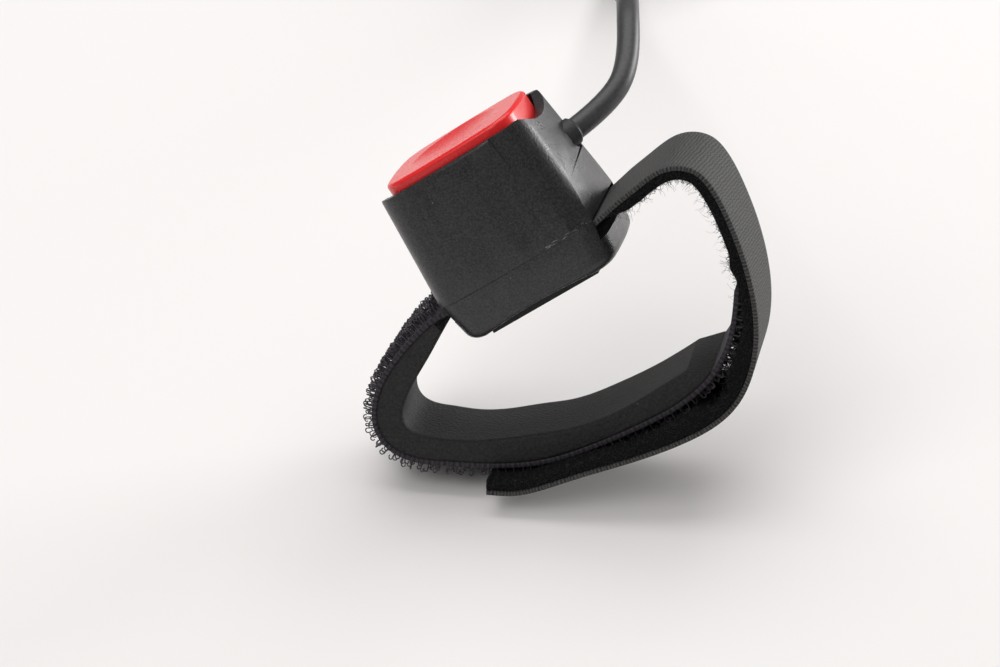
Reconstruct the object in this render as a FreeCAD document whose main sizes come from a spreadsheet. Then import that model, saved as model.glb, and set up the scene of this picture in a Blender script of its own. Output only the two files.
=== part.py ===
import FreeCAD, Part
import math
import os
from Sketcher import Constraint

V = FreeCAD.Vector
Turn = FreeCAD.Rotation
Place = FreeCAD.Placement

doc = FreeCAD.newDocument("TalkSwitch")
sheet = doc.addObject("Spreadsheet::Sheet", "Sheet")

# Driving dimensions in millimetres and degrees. The housing's own frame has its
# origin at the middle of the seam, u along the length, v along the strap's width
# and w up towards the button. The ring's frame has the same origin, x to the right
# and z up inside the ring, and y along the ring's axis.
DRIVING = {
    "housing_tilt": 34.5,
    "ring_lean": 12.0,
    "seam_length": 33.3,
    "seam_width": 25.8,
    "rim_draw": 3.1,
    "side_sag": 1.2,
    "end_sag": 0.8,
    "upper_height": 20.5,
    "corner_radius": 5.0,
    "cut_over": 1.0,
    "facet_cut": 1.0,
    "scoop_chord": 17.0,
    "scoop_depth": 2.6,
    "deck_depth": 4.0,
    "end_wall": 1.6,
    "deck_wall": 1.1,
    "side_wall": 1.6,
    "cavity_corner": 3.4,
    "rib_width": 1.6,
    "rib_place": 8.0,
    "rib_reach": 10.2,
    "rib_top": 12.0,
    "rib_sink": 0.1,
    "lower_height": 8.2,
    "lower_taper": 1.1,
    "foot_round": 2.2,
    "saddle_chord": 25.0,
    "saddle_rise": 1.1,
    "slot_width": 19.6,
    "slot_depth": 3.7,
    "pad_length": 21.6,
    "pad_width": 17.0,
    "pad_stand": 0.5,
    "pad_fit": 0.05,
    "button_end_margin": 1.85,
    "button_side_margin": 1.6,
    "button_side_sag": 1.0,
    "button_end_sag": 0.9,
    "button_proud": 1.6,
    "button_corner": 4.6,
    "button_edge": 0.7,
    "button_clearance": 0.2,
    "button_wall": 1.5,
    "dish_depth": 0.9,
    "dish_chord": 17.2,
    "flange_reach": 0.6,
    "flange_thickness": 1.2,
    "flange_gap": 0.1,
    "button_travel": 1.2,
    "stem_radius": 2.0,
    "stem_sink": 0.2,
    "board_thickness": 1.6,
    "board_fit": 0.25,
    "switch_length": 12.8,
    "switch_width": 5.8,
    "switch_height": 6.5,
    "plunger_radius": 1.0,
    "plunger_fit": 0.05,
    "plunger_height": 1.5,
    "plunger_sink": 2.0,
    "switch_hole_radius": 1.0,
    "switch_hole_place": 4.6,
    "terminal_radius": 0.4,
    "terminal_pitch": 5.0,
    "terminal_drop": 0.7,
    "cord_diameter": 4.0,
    "exit_side": 7.2,
    "exit_drop": 9.0,
    "exit_turn": 40.0,
    "relief_radius": 2.5,
    "relief_inside": 4.2,
    "relief_outside": 0.1,
    "relief_nose": 0.4,
    "relief_bore": 1.3,
    "nose_lip": 0.1,
    "hole_fit": 0.05,
    "conductor_radius": 0.5,
    "strap_width": 19.0,
    "tape_thickness": 0.9,
    "hook_height": 1.7,
    "hook_pitch": 1.8,
    "hook_row": 0.6,
    "hook_engaged": 0.5,
    "foam_width": 18.6,
    "foam_start": 1.5,
    "foam_stop": 15.5,
    "loop_thickness": 2.2,
    "loop_shift": 4.5,
    "layer_gap": 0.05,
    "coil_turn_diameter": 42.0,
    "coil_bundle_width": 12.4,
    "coil_bundle_height": 8.2,
    "coil_edge_round": 2.0,
    "coil_side": 5.0,
    "coil_back": 206.0,
    "tie_width": 5.0,
    "tie_thickness": 0.6,
    "tie_fit": 0.05,
    "plug_body_radius": 3.9,
    "plug_body_length": 15.0,
    "plug_edge": 0.8,
    "plug_boot_length": 10.0,
    "plug_boot_start_radius": 2.7,
    "plug_boot_end_radius": 3.4,
    "jack_radius": 1.75,
    "jack_shoulder_radius": 2.6,
    "jack_shoulder_length": 0.8,
    "jack_sleeve_length": 9.0,
    "jack_insulator_length": 0.8,
    "jack_tip_length": 3.6,
    "jack_stem_radius": 0.9,
}


class Measure:
    """A length that keeps both its number and the way it is worked out from the sheet."""

    def __init__(self, text, value):
        self.text = text
        self.value = value

    def mix(self, other, sign, number, swap=False):
        right = other if isinstance(other, Measure) else Measure(repr(other), other)
        first, second = (right, self) if swap else (self, right)
        return Measure(f"({first.text} {sign} {second.text})", number(first.value, second.value))

    def __add__(self, other):
        return self.mix(other, "+", lambda a, b: a + b)

    def __radd__(self, other):
        return self.mix(other, "+", lambda a, b: a + b, swap=True)

    def __sub__(self, other):
        return self.mix(other, "-", lambda a, b: a - b)

    def __rsub__(self, other):
        return self.mix(other, "-", lambda a, b: a - b, swap=True)

    def __mul__(self, other):
        return self.mix(other, "*", lambda a, b: a * b)

    def __rmul__(self, other):
        return self.mix(other, "*", lambda a, b: a * b, swap=True)

    def __truediv__(self, other):
        return self.mix(other, "/", lambda a, b: a / b)

    def __neg__(self):
        return Measure(f"(0 - {self.text})", -self.value)


size = {}
for row, (alias, value) in enumerate(DRIVING.items(), start=1):
    sheet.set(f"A{row}", alias)
    sheet.set(f"B{row}", str(value))
    sheet.setAlias(f"B{row}", alias)
doc.recompute()
for alias in DRIVING:
    size[alias] = Measure(f"Sheet.{alias}", float(getattr(sheet, alias)))


def bind(thing, prop, measure):
    """Ties one property of an object to the sheet."""
    if not isinstance(measure, Measure):
        measure = Measure(repr(measure), measure)
    thing.setExpression(prop, measure.text)


def arc_radius(chord_half, rise):
    """Radius of the arc over a half chord with a given rise."""
    return (chord_half * chord_half + rise * rise) / (2 * rise)


def cosine(alias):
    return Measure(f"cos({size[alias].text} * 1 deg)", math.cos(math.radians(size[alias].value)))


def sine(alias):
    return Measure(f"sin({size[alias].text} * 1 deg)", math.sin(math.radians(size[alias].value)))


def new_body(label):
    body = doc.addObject("PartDesign::Body", label)
    body.Label = label
    return body


def plane_of(body, role):
    return [p for p in body.Origin.OriginFeatures if p.Role == role][0]


def new_sketch(body, name, role, offset):
    sketch = body.newObject("Sketcher::SketchObject", name)
    sketch.AttachmentSupport = [(plane_of(body, role), "")]
    sketch.MapMode = "FlatFace"
    bind(sketch, "AttachmentOffset.Base.z", offset)
    return sketch


def barrel_sketch(body, name, length, width, side_sag, end_sag, height):
    """A four-sided outline at one height whose sides and ends bulge outwards."""
    sketch = new_sketch(body, name, "XY_Plane", height)
    half_x, half_y = length / 2 - end_sag, width / 2 - side_sag
    x, y = half_x.value, half_y.value
    corners = [V(-x, -y, 0), V(x, -y, 0), V(x, y, 0), V(-x, y, 0)]
    middles = [V(0, -width.value / 2, 0), V(length.value / 2, 0, 0),
               V(0, width.value / 2, 0), V(-length.value / 2, 0, 0)]
    for k in range(4):
        sketch.addGeometry(Part.Arc(corners[k], middles[k], corners[(k + 1) % 4]), False)
    start = [1 if sketch.Geometry[k].StartPoint.distanceToPoint(corners[k]) < 1e-4 else 2
             for k in range(4)]
    for k in range(4):
        after = (k + 1) % 4
        sketch.addConstraint(Constraint("Coincident", k, 3 - start[k], after, start[after]))
    sketch.addConstraint(Constraint("Symmetric", 0, start[0], 2, start[2], -1, 1))
    sketch.addConstraint(Constraint("Symmetric", 1, start[1], 3, start[3], -1, 1))
    sketch.addConstraint(Constraint("Vertical", 1, start[1], 2, start[2]))
    sketch.addConstraint(Constraint("Horizontal", 0, start[0], 1, start[1]))
    at_x = sketch.addConstraint(Constraint("DistanceX", -1, 1, 2, start[2], x))
    at_y = sketch.addConstraint(Constraint("DistanceY", -1, 1, 2, start[2], y))
    bind(sketch, f"Constraints[{at_x}]", half_x)
    bind(sketch, f"Constraints[{at_y}]", half_y)
    for k, chord_half, rise in ((0, half_x, side_sag), (1, half_y, end_sag),
                                (2, half_x, side_sag), (3, half_y, end_sag)):
        radius = arc_radius(chord_half, rise)
        index = sketch.addConstraint(Constraint("Radius", k, radius.value))
        bind(sketch, f"Constraints[{index}]", radius)
    doc.recompute()
    return sketch


def loft(body, kind, name, first, second):
    feature = body.newObject(kind, name)
    feature.Profile = first
    feature.Sections = [second]
    feature.Ruled = True
    doc.recompute()
    return feature


def pad(body, name, sketch, length, downwards=False):
    feature = body.newObject("PartDesign::Pad", name)
    feature.Profile = sketch
    feature.Reversed = downwards
    bind(feature, "Length", length)
    doc.recompute()
    return feature


def pocket(body, name, sketch, length, upwards=False):
    feature = body.newObject("PartDesign::Pocket", name)
    feature.Profile = sketch
    feature.Reversed = upwards
    bind(feature, "Length", length)
    doc.recompute()
    return feature


def fillet(body, name, radius, wanted):
    """Rounds the edges of the body so far that the test picks."""
    base = body.Tip
    names = [f"Edge{k}" for k, edge in enumerate(base.Shape.Edges, start=1) if wanted(edge)]
    feature = body.newObject("PartDesign::Fillet", name)
    feature.Base = (base, names)
    bind(feature, "Radius", radius)
    doc.recompute()
    return feature


def primitive(body, kind, name, sizes, base, turn=None):
    """A PartDesign primitive with its sizes and its base point tied to the sheet."""
    feature = body.newObject(f"PartDesign::{kind}", name)
    feature.AttachmentSupport = [(plane_of(body, "XY_Plane"), "")]
    feature.MapMode = "FlatFace"
    if turn is not None:
        feature.AttachmentOffset = Place(V(), turn)
    for prop, measure in sizes.items():
        bind(feature, prop, measure)
    for axis, measure in zip("xyz", base):
        bind(feature, f"AttachmentOffset.Base.{axis}", measure)
    doc.recompute()
    return feature


def upright(edge, low, high):
    """True for an edge that runs from below one height to above another."""
    box = edge.BoundBox
    return box.ZMin < low and box.ZMax > high


s = size
CUT = Measure("60", 60.0)
ALONG_U = Turn(V(0, 1, 0), 90)
ALONG_V = Turn(V(1, 0, 0), -90)

rim_length = s["seam_length"] - s["rim_draw"]
rim_width = s["seam_width"] - s["rim_draw"]
facet_reach = s["seam_length"] / 2 - s["facet_cut"]
cavity_length = 2 * (facet_reach - s["end_wall"])
button_length = rim_length - 2 * s["button_end_margin"]
button_width = rim_width - 2 * s["button_side_margin"]
exit_height = s["upper_height"] - s["exit_drop"]
button_top = s["upper_height"] + s["button_proud"]
opening_length = button_length + 2 * s["button_clearance"]
opening_width = button_width + 2 * s["button_clearance"]
deck_under = s["upper_height"] - s["deck_depth"]
flange_top = deck_under - s["flange_gap"]
flange_under = flange_top - s["flange_thickness"]
cavity_top_width = rim_width - 2 * s["deck_wall"] + s["deck_depth"] * (
    (s["seam_width"] - rim_width) / s["upper_height"])
cavity_seam_width = s["seam_width"] - 2 * s["side_wall"]
board_top = s["board_thickness"]
switch_top = board_top + s["switch_height"]
plunger_top = switch_top + s["plunger_height"]
exit_cos, exit_sin = cosine("exit_turn"), sine("exit_turn")


def upper_housing():
    body = new_body("upper_housing")
    rim = barrel_sketch(body, "RimOutline", rim_length, rim_width,
                        s["side_sag"], s["end_sag"], s["upper_height"])
    seam = barrel_sketch(body, "SeamOutline", s["seam_length"], s["seam_width"],
                         s["side_sag"], s["end_sag"], Measure("0", 0.0))
    loft(body, "PartDesign::AdditiveLoft", "OuterForm", rim, seam)
    high = s["upper_height"].value
    fillet(body, "Corners", s["corner_radius"], lambda e: upright(e, 0.1, high - 0.1))
    for side, turn in ((1, 0), (-1, 180)):
        primitive(body, "SubtractiveBox", f"EndFacet{turn}",
                  {"Length": CUT, "Width": CUT, "Height": CUT},
                  (side * facet_reach - (0 if side > 0 else 1) * CUT, -CUT / 2, -CUT / 2))
    scoop = arc_radius(s["scoop_chord"] / 2, s["scoop_depth"])
    primitive(body, "SubtractiveCylinder", "EndScoops", {"Radius": scoop, "Height": CUT},
              (-CUT / 2, Measure("0", 0.0), s["upper_height"] + scoop - s["scoop_depth"]),
              ALONG_U)
    top = barrel_sketch(body, "CavityTop", cavity_length, cavity_top_width,
                        s["side_sag"], s["end_sag"], deck_under)
    foot = barrel_sketch(body, "CavityFoot", cavity_length, cavity_seam_width,
                         s["side_sag"], s["end_sag"], Measure("0", 0.0))
    loft(body, "PartDesign::SubtractiveLoft", "Cavity", top, foot)
    under = deck_under.value
    reach = cavity_length.value / 2 - s["end_sag"].value

    def inner_corner(edge):
        box = edge.BoundBox
        inside = abs(abs(box.Center.x) - reach) < 0.2
        return inside and box.ZMin < 0.1 and abs(box.ZMax - under) < 0.1

    fillet(body, "CavityCorners", s["cavity_corner"], inner_corner)
    mouth = barrel_sketch(body, "ButtonMouth", opening_length, opening_width,
                          s["button_side_sag"], s["button_end_sag"],
                          s["upper_height"] + s["button_proud"])
    pocket(body, "ButtonOpening", mouth, s["deck_depth"] + s["button_proud"] + s["cut_over"])
    for side_u in (-1, 1):
        for side_v in (-1, 1):
            wide = cavity_seam_width / 2 - s["rib_reach"] + s["rib_sink"]
            corner_v = s["rib_reach"] if side_v > 0 else -s["rib_reach"] - wide
            primitive(body, "AdditiveBox", f"BoardRib{side_u + 1}{side_v + 1}",
                      {"Length": s["rib_width"], "Width": wide,
                       "Height": s["rib_top"] - board_top},
                      (side_u * s["rib_place"] - s["rib_width"] / 2, corner_v, board_top))
    cut_length = 3 * s["relief_inside"]
    primitive(body, "SubtractiveCylinder", "CableHole",
              {"Radius": s["relief_radius"] + s["hole_fit"], "Height": cut_length},
              (facet_reach - exit_cos * cut_length / 2,
               s["exit_side"] - exit_sin * cut_length / 2, exit_height),
              Turn(V(0, 0, 1), s["exit_turn"].value) * ALONG_U)
    return body


def lower_shell():
    body = new_body("lower_shell")
    taper = 2 * s["lower_taper"]
    seam = barrel_sketch(body, "SeamOutline", s["seam_length"], s["seam_width"],
                         s["side_sag"], s["end_sag"], Measure("0", 0.0))
    foot = barrel_sketch(body, "FootOutline", s["seam_length"] - taper, s["seam_width"] - taper,
                         s["side_sag"], s["end_sag"], -s["lower_height"])
    loft(body, "PartDesign::AdditiveLoft", "OuterForm", seam, foot)
    deep = s["lower_height"].value
    fillet(body, "Corners", s["corner_radius"], lambda e: upright(e, -deep + 0.1, -0.1))
    fillet(body, "FootEdge", s["foot_round"], lambda e: e.BoundBox.ZMax < -deep + 0.1)
    saddle = arc_radius(s["saddle_chord"] / 2, s["saddle_rise"])
    primitive(body, "SubtractiveCylinder", "Saddle", {"Radius": saddle, "Height": CUT},
              (Measure("0", 0.0), -CUT / 2, -s["lower_height"] + s["saddle_rise"] - saddle),
              ALONG_V)
    primitive(body, "SubtractiveBox", "StrapSlot",
              {"Length": CUT, "Width": s["slot_width"], "Height": CUT},
              (-CUT / 2, -s["slot_width"] / 2, -s["slot_depth"]))
    return body


def solid(kind, name, sizes, base, turn=None):
    """A Part primitive in the housing's frame, tied to the sheet."""
    thing = doc.addObject(f"Part::{kind}", name)
    for prop, measure in sizes.items():
        bind(thing, prop, measure)
    if turn is not None:
        thing.Placement = Place(V(), turn)
    for axis, measure in zip("xyz", base):
        bind(thing, f"Placement.Base.{axis}", measure)
    return thing


def combine(kind, label, *things):
    """A Part boolean: Cut takes two objects, MultiFuse and MultiCommon take several."""
    result = doc.addObject(f"Part::{kind}", label)
    result.Label = label
    if kind == "Cut":
        result.Base, result.Tool = things
    else:
        result.Shapes = list(things)
    doc.recompute()
    return result


def box_at(name, length, width, height, u, v, w):
    """A block centred on u and v that stands on w."""
    return solid("Box", name, {"Length": length, "Width": width, "Height": height},
                 (u - length / 2, v - width / 2, w))


def rod_at(name, radius, height, u, v, w):
    return solid("Cylinder", name, {"Radius": radius, "Height": height}, (u, v, w))


ZERO = Measure("0", 0.0)


def saddle_pad():
    """Rubber sheet on the concave underside: its top follows the saddle, its face is flat."""
    face = -s["lower_height"] - s["pad_stand"]
    saddle = arc_radius(s["saddle_chord"] / 2, s["saddle_rise"])
    block = box_at("PadBlock", s["pad_length"], s["pad_width"],
                   s["pad_stand"] + s["saddle_rise"] + s["cut_over"], ZERO, ZERO, face)
    round_part = solid("Cylinder", "PadArc", {"Radius": saddle - s["pad_fit"], "Height": CUT},
                       (ZERO, -CUT / 2, -s["lower_height"] + s["saddle_rise"] - saddle), ALONG_V)
    return combine("MultiCommon", "saddle_pad", block, round_part)


def button_cap():
    body = new_body("button_cap")
    inset = s["button_wall"]
    outline = barrel_sketch(body, "CapOutline", button_length, button_width,
                            s["button_side_sag"], s["button_end_sag"], flange_under)
    pad(body, "CapForm", outline, button_top - flange_under)
    top = button_top.value
    low = flange_under.value
    fillet(body, "CapCorners", s["button_corner"], lambda e: upright(e, low + 0.1, top - 0.1))
    dish = arc_radius(s["dish_chord"] / 2, s["dish_depth"])
    primitive(body, "SubtractiveSphere", "Dish", {"Radius": dish},
              (ZERO, ZERO, button_top + dish - s["dish_depth"]))

    def outer_top(edge):
        box = edge.BoundBox
        return box.ZMin > top - 0.01

    fillet(body, "TopEdge", s["button_edge"],
           lambda e: outer_top(e) and not is_dish_rim(e, s["dish_chord"].value / 2))
    flange = barrel_sketch(body, "FlangeOutline", button_length + 2 * s["flange_reach"],
                           button_width + 2 * s["flange_reach"],
                           s["button_side_sag"], s["button_end_sag"], flange_under)
    pad(body, "Flange", flange, s["flange_thickness"])
    flange_high = flange_top.value
    fillet(body, "FlangeCorners", s["cavity_corner"],
           lambda e: abs(e.BoundBox.ZLength - s["flange_thickness"].value) < 0.01)
    hollow = barrel_sketch(body, "HollowOutline", button_length - 2 * inset,
                           button_width - 2 * inset,
                           s["button_side_sag"], s["button_end_sag"], flange_under)
    depth = button_top - s["dish_depth"] - s["button_wall"] - flange_under
    pocket(body, "Hollow", hollow, depth, upwards=True)
    primitive(body, "AdditiveCylinder", "Stem",
              {"Radius": s["stem_radius"], "Height": depth + flange_under - plunger_top + s["stem_sink"]},
              (ZERO, ZERO, plunger_top))
    return body


def is_dish_rim(edge, radius):
    """True for the circle where the dish meets the flat top."""
    box = edge.BoundBox
    return abs(box.XLength - 2 * radius) < 0.5 and abs(box.YLength - 2 * radius) < 0.5


def circuit_board():
    body = new_body("circuit_board")
    outline = barrel_sketch(body, "BoardOutline", cavity_length - 2 * s["board_fit"],
                            cavity_seam_width - 2 * s["board_fit"],
                            s["side_sag"], s["end_sag"], ZERO)
    pad(body, "Board", outline, s["board_thickness"])
    fillet(body, "BoardCorners", s["cavity_corner"],
           lambda e: abs(e.BoundBox.ZLength - s["board_thickness"].value) < 0.01)
    for k in (-1, 0, 1):
        primitive(body, "SubtractiveCylinder", f"TerminalHole{k + 2}",
                  {"Radius": s["terminal_radius"] + s["hole_fit"], "Height": CUT},
                  (k * s["terminal_pitch"], ZERO, -CUT / 2))
    return body


def switch_body():
    case = box_at("SwitchCase", s["switch_length"], s["switch_width"], s["switch_height"],
                  ZERO, ZERO, board_top)
    well = rod_at("PlungerWell", s["plunger_radius"] + s["plunger_fit"],
                  s["switch_height"], ZERO, ZERO, board_top + s["plunger_sink"])
    pins = [solid("Cylinder", f"MountHole{k}", {"Radius": s["switch_hole_radius"], "Height": CUT},
                  (k * s["switch_hole_place"], -CUT / 2, board_top + s["plunger_sink"]), ALONG_V)
            for k in (-1, 1)]
    holes = combine("MultiFuse", "SwitchHoles", well, *pins)
    return combine("Cut", "switch_body", case, holes)


def switch_plunger():
    low = switch_top - s["plunger_sink"]
    tall = s["plunger_height"] + s["plunger_sink"]
    rod = rod_at("PlungerRod", s["plunger_radius"], tall, ZERO, ZERO, low)
    tip = solid("Sphere", "PlungerTip", {"Radius": tall}, (ZERO, ZERO, low))
    return combine("MultiCommon", "switch_plunger", rod, tip)


def switch_terminals():
    pins = [rod_at(f"Terminal{k + 2}", s["terminal_radius"],
                   s["board_thickness"] + s["terminal_drop"],
                   k * s["terminal_pitch"], ZERO, -s["terminal_drop"]) for k in (-1, 0, 1)]
    return combine("MultiFuse", "switch_terminals", *pins)


def housing_turn():
    """Turns the exit's own axis into the housing's frame."""
    return Turn(V(0, 0, 1), s["exit_turn"].value) * ALONG_U


def on_exit(distance):
    """A point on the cable exit's axis, measured outwards from the end face."""
    return (facet_reach + exit_cos * distance, s["exit_side"] + exit_sin * distance,
            exit_height)


def strain_relief():
    sleeve = solid("Cylinder", "ReliefSleeve",
                   {"Radius": s["relief_radius"],
                    "Height": s["relief_inside"] + s["relief_outside"]},
                   on_exit(-s["relief_inside"]), housing_turn())
    nose = solid("Cone", "ReliefNose",
                 {"Radius1": s["relief_radius"], "Radius2": s["cord_diameter"] / 2 + s["nose_lip"],
                  "Height": s["relief_nose"]}, on_exit(s["relief_outside"]), housing_turn())
    bore = solid("Cylinder", "ReliefBore",
                 {"Radius": s["relief_bore"], "Height": s["relief_inside"]},
                 on_exit(-s["relief_inside"]), housing_turn())
    return combine("Cut", "strain_relief", combine("MultiFuse", "ReliefForm", sleeve, nose), bore)


def rounded_path(points, share=0.45):
    """Straight runs joined by tangent arcs, each as large as its two runs allow."""
    edges, radii, start = [], [], points[0]
    for before, corner, after in zip(points, points[1:], points[2:]):
        back, ahead = (before - corner), (after - corner)
        run = min(back.Length, ahead.Length)
        back.normalize()
        ahead.normalize()
        turn = math.pi - back.getAngle(ahead)
        cut = share * run
        first, last = corner + back * cut, corner + ahead * cut
        radius = cut / math.tan(turn / 2)
        radii.append(round(radius, 1))
        middle = (back + ahead)
        middle.normalize()
        apex = corner + middle * (radius / math.cos(turn / 2) - radius)
        edges.append(Part.LineSegment(start, first).toShape())
        edges.append(Part.Arc(first, apex, last).toShape())
        start = last
    edges.append(Part.LineSegment(start, points[-1]).toShape())
    return Part.Wire(edges), radii


def tube(points, radius):
    """A round tube along a rounded path, and the radii of its bends."""
    path, radii = rounded_path(points)
    heading = points[1] - points[0]
    ring = Part.Wire([Part.makeCircle(radius, points[0], heading)])
    shape = path.makePipeShell([ring], True, False)
    expected = math.pi * radius ** 2 * path.Length
    return shape, radii, path.Length, abs(shape.Volume) / expected


def feature(label, shape):
    """A named object that holds a shape worked out in code."""
    thing = doc.addObject("Part::Feature", label)
    thing.Label = label
    thing.Shape = shape
    return thing


def ring_point(u, w):
    """A point of the housing's frame, given in the ring's frame as x and z."""
    tilt = math.radians(s["housing_tilt"].value)
    return (u * math.cos(tilt) - w * math.sin(tilt), u * math.sin(tilt) + w * math.cos(tilt))


# the hook tape's middle line: through the slot on the left, down, along the table, up
HOOK_LINE = [
    ring_point(6.0, -2.9), ring_point(-4.0, -2.9), ring_point(-11.0, -2.5),
    ring_point(-17.2, -1.35),
    (-16.4, -13.5), (-20.5, -18.6), (-23.6, -23.8), (-24.9, -28.5), (-24.6, -32.6),
    (-22.2, -36.0), (-18.3, -37.7), (-12.0, -38.0), (-6.0, -37.8), (0.5, -37.1),
    (7.2, -35.3), (12.1, -33.1), (17.1, -30.5), (21.9, -27.7), (26.8, -24.5),
    (31.5, -20.2), (34.8, -15.1), (36.5, -9.5), (37.1, -2.2),
]
# the loop tape's outer face: through the slot on the right, up, round and under
LOOP_LINE = [
    ring_point(-6.0, -1.4), ring_point(5.0, -1.4), ring_point(11.5, -1.0),
    ring_point(16.6, -0.3),
    (16.3, 11.7), (19.0, 14.2), (21.4, 16.4), (24.0, 18.2), (27.1, 18.9), (30.0, 18.2),
    (32.6, 15.7), (35.5, 10.6), (37.7, 5.5), (39.7, -0.6), (40.8, -6.0), (41.1, -11.0),
    (40.4, -16.3), (38.6, -21.0), (35.6, -24.8), (31.2, -28.0), (25.0, -31.2),
    (18.3, -34.0), (11.5, -36.7), (6.5, -38.9), (0.9, -40.8), (-4.2, -41.1),
]
SLOT_POINT = 3
PRESSED_FROM, PRESSED_TO = 12, 18
DRIFT_RANGE = (0.38, 0.92)
SAMPLES = 56


class Line:
    """A smooth line in the ring's plane, measured by its length."""

    def __init__(self, points):
        self.curve = Part.BSplineCurve()
        self.curve.interpolate([V(x, 0, z) for x, z in points])
        self.length = self.curve.length()
        self.marks = [self.curve.length(self.curve.FirstParameter,
                                        self.curve.parameter(V(x, 0, z))) for x, z in points]

    def at(self, distance, offset=0.0):
        """The point at a distance along the line, and set off to its left by the offset."""
        distance = min(max(distance, 0.0), self.length)
        parameter = self.curve.parameterAtDistance(distance, self.curve.FirstParameter)
        point = self.curve.value(parameter)
        heading = self.curve.tangent(parameter)[0]
        return point + V(-heading.z, 0, heading.x) * offset


def smooth(value, low, high):
    """Zero below low, one above high, and a soft step between them."""
    share = min(max((value - low) / (high - low), 0.0), 1.0)
    return share * share * (3 - 2 * share)


def spline_edge(points):
    curve = Part.BSplineCurve()
    curve.interpolate(points)
    return curve.toShape()


def spread(points, y):
    """The same points at another place along the ring's axis."""
    return [V(p.x, y, p.z) for p in points]


def band(near_rows, far_rows):
    """A closed solid between four rows of points: outer and inner, at the near and far edge."""
    near = [spline_edge(row) for row in near_rows]
    far = [spline_edge(row) for row in far_rows]
    faces = [Part.makeRuledSurface(near[0], far[0]), Part.makeRuledSurface(near[1], far[1])]
    for outer, inner in (near, far):
        if outer.BoundBox.YLength < 1e-6:
            ends = [Part.makeLine(*(e.Vertexes[k].Point for e in (outer, inner))) for k in (0, -1)]
            faces.append(Part.Face(Part.Wire([outer, ends[1], inner, ends[0]])))
        else:
            faces.append(Part.makeRuledSurface(outer, inner))
    for k in (0, -1):
        sides = [Part.makeLine(*(edge.Vertexes[k].Point for edge in pair)) for pair in (near, far)]
        faces.append(Part.makeRuledSurface(*sides))
    shell = Part.makeShell(faces)
    shell.sewShape()
    shape = Part.makeSolid(shell)
    if shape.Volume < 0:
        shape.reverse()
    return shape


# the foam's inner face along the near edge and along the far edge of the strap
FOAM_NEAR = [(-12.9, -13.6), (-14.2, -16.4), (-16.0, -19.9), (-18.1, -23.8), (-19.6, -27.5),
             (-19.9, -30.2), (-18.9, -32.1), (-16.9, -33.1), (-13.9, -33.5), (-10.3, -33.6),
             (-3.0, -32.7), (2.5, -31.4), (7.0, -30.3), (15.4, -27.0), (22.5, -22.2),
             (29.2, -17.0)]
FOAM_FAR = [(-12.9, -13.6), (-14.6, -16.4), (-17.0, -20.0), (-19.3, -24.0), (-21.2, -28.0),
            (-21.6, -31.2), (-20.5, -33.4), (-18.0, -34.6), (-15.0, -34.9), (-11.0, -35.2),
            (-4.0, -34.4), (1.5, -33.0), (6.5, -31.8), (14.6, -28.0), (21.6, -23.8),
            (28.4, -18.8)]


def foam_lining(hook):
    """Foam glued to the inside of the hook tape, thinner along the far edge."""
    back = s["tape_thickness"].value / 2 + s["layer_gap"].value
    begin = hook.marks[SLOT_POINT] + s["foam_start"].value
    end = hook.marks[-1] - s["foam_stop"].value
    outer = [hook.at(begin + (end - begin) * k / (SAMPLES - 1), back) for k in range(SAMPLES)]
    half = s["foam_width"].value / 2
    shape = band([spread(outer, -half), spread([V(x, 0, z) for x, z in FOAM_NEAR], -half)],
                 [spread(outer, half), spread([V(x, 0, z) for x, z in FOAM_FAR], half)])
    return feature("foam_lining", shape)


def hook_tape(hook):
    """Woven tape with rows of hooks on its outer side, low where the loop tape presses them."""
    half = s["tape_thickness"].value / 2
    tall, low = s["hook_height"].value, s["hook_engaged"].value
    pitch, thick = s["hook_pitch"].value, s["hook_row"].value
    first = hook.marks[SLOT_POINT] + pitch
    pressed_from, pressed_to = hook.marks[PRESSED_FROM] - pitch, hook.marks[PRESSED_TO]
    rows = int((hook.length - pitch - first) / pitch)
    outline = [hook.at(mark, -half) for mark in hook.marks[:SLOT_POINT + 1]]
    for k in range(rows):
        d = first + k * pitch
        covered = smooth(d, pressed_from - pitch, pressed_from) * (
            1 - smooth(d, pressed_to - 6 * pitch, pressed_to))
        top = half + tall + (low - tall) * covered
        for step, height in ((-thick / 2, half), (-thick / 2, top), (thick / 2, top),
                             (thick / 2, half)):
            outline.append(hook.at(d + step, -height))
    outline.append(hook.at(hook.length, -half))
    inner = spline_edge([hook.at(hook.length * k / (SAMPLES - 1), half)
                         for k in range(SAMPLES - 1, -1, -1)])
    edges = [Part.LineSegment(a, b).toShape() for a, b in zip(outline, outline[1:])]
    edges.append(Part.LineSegment(outline[-1], inner.Vertexes[0].Point).toShape())
    edges.append(inner)
    edges.append(Part.LineSegment(inner.Vertexes[-1].Point, outline[0]).toShape())
    face = Part.Face(Part.Wire(edges))
    face.translate(V(0, -s["strap_width"].value / 2, 0))
    return feature("hook_tape", face.extrude(V(0, s["strap_width"].value, 0)))


def loop_tape(loop):
    """Woven tape with a pile on its inner side; its free end slides towards one edge."""
    backing, full = s["tape_thickness"].value, s["loop_thickness"].value
    slot = loop.marks[SLOT_POINT]
    half, drift = s["strap_width"].value / 2, s["loop_shift"].value
    rows = [[], [], [], []]
    for k in range(SAMPLES):
        share = k / (SAMPLES - 1)
        d = loop.length * share
        thick = backing + (full - backing) * smooth(d, slot, slot + 2 * full)
        slide = -drift * smooth(share, *DRIFT_RANGE)
        for row, sign, depth in zip(rows, (-1, -1, 1, 1), (0.0, thick, 0.0, thick)):
            row += spread([loop.at(d, -depth)], sign * half + slide)
    return feature("loop_tape", band(rows[:2], rows[2:]))


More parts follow.
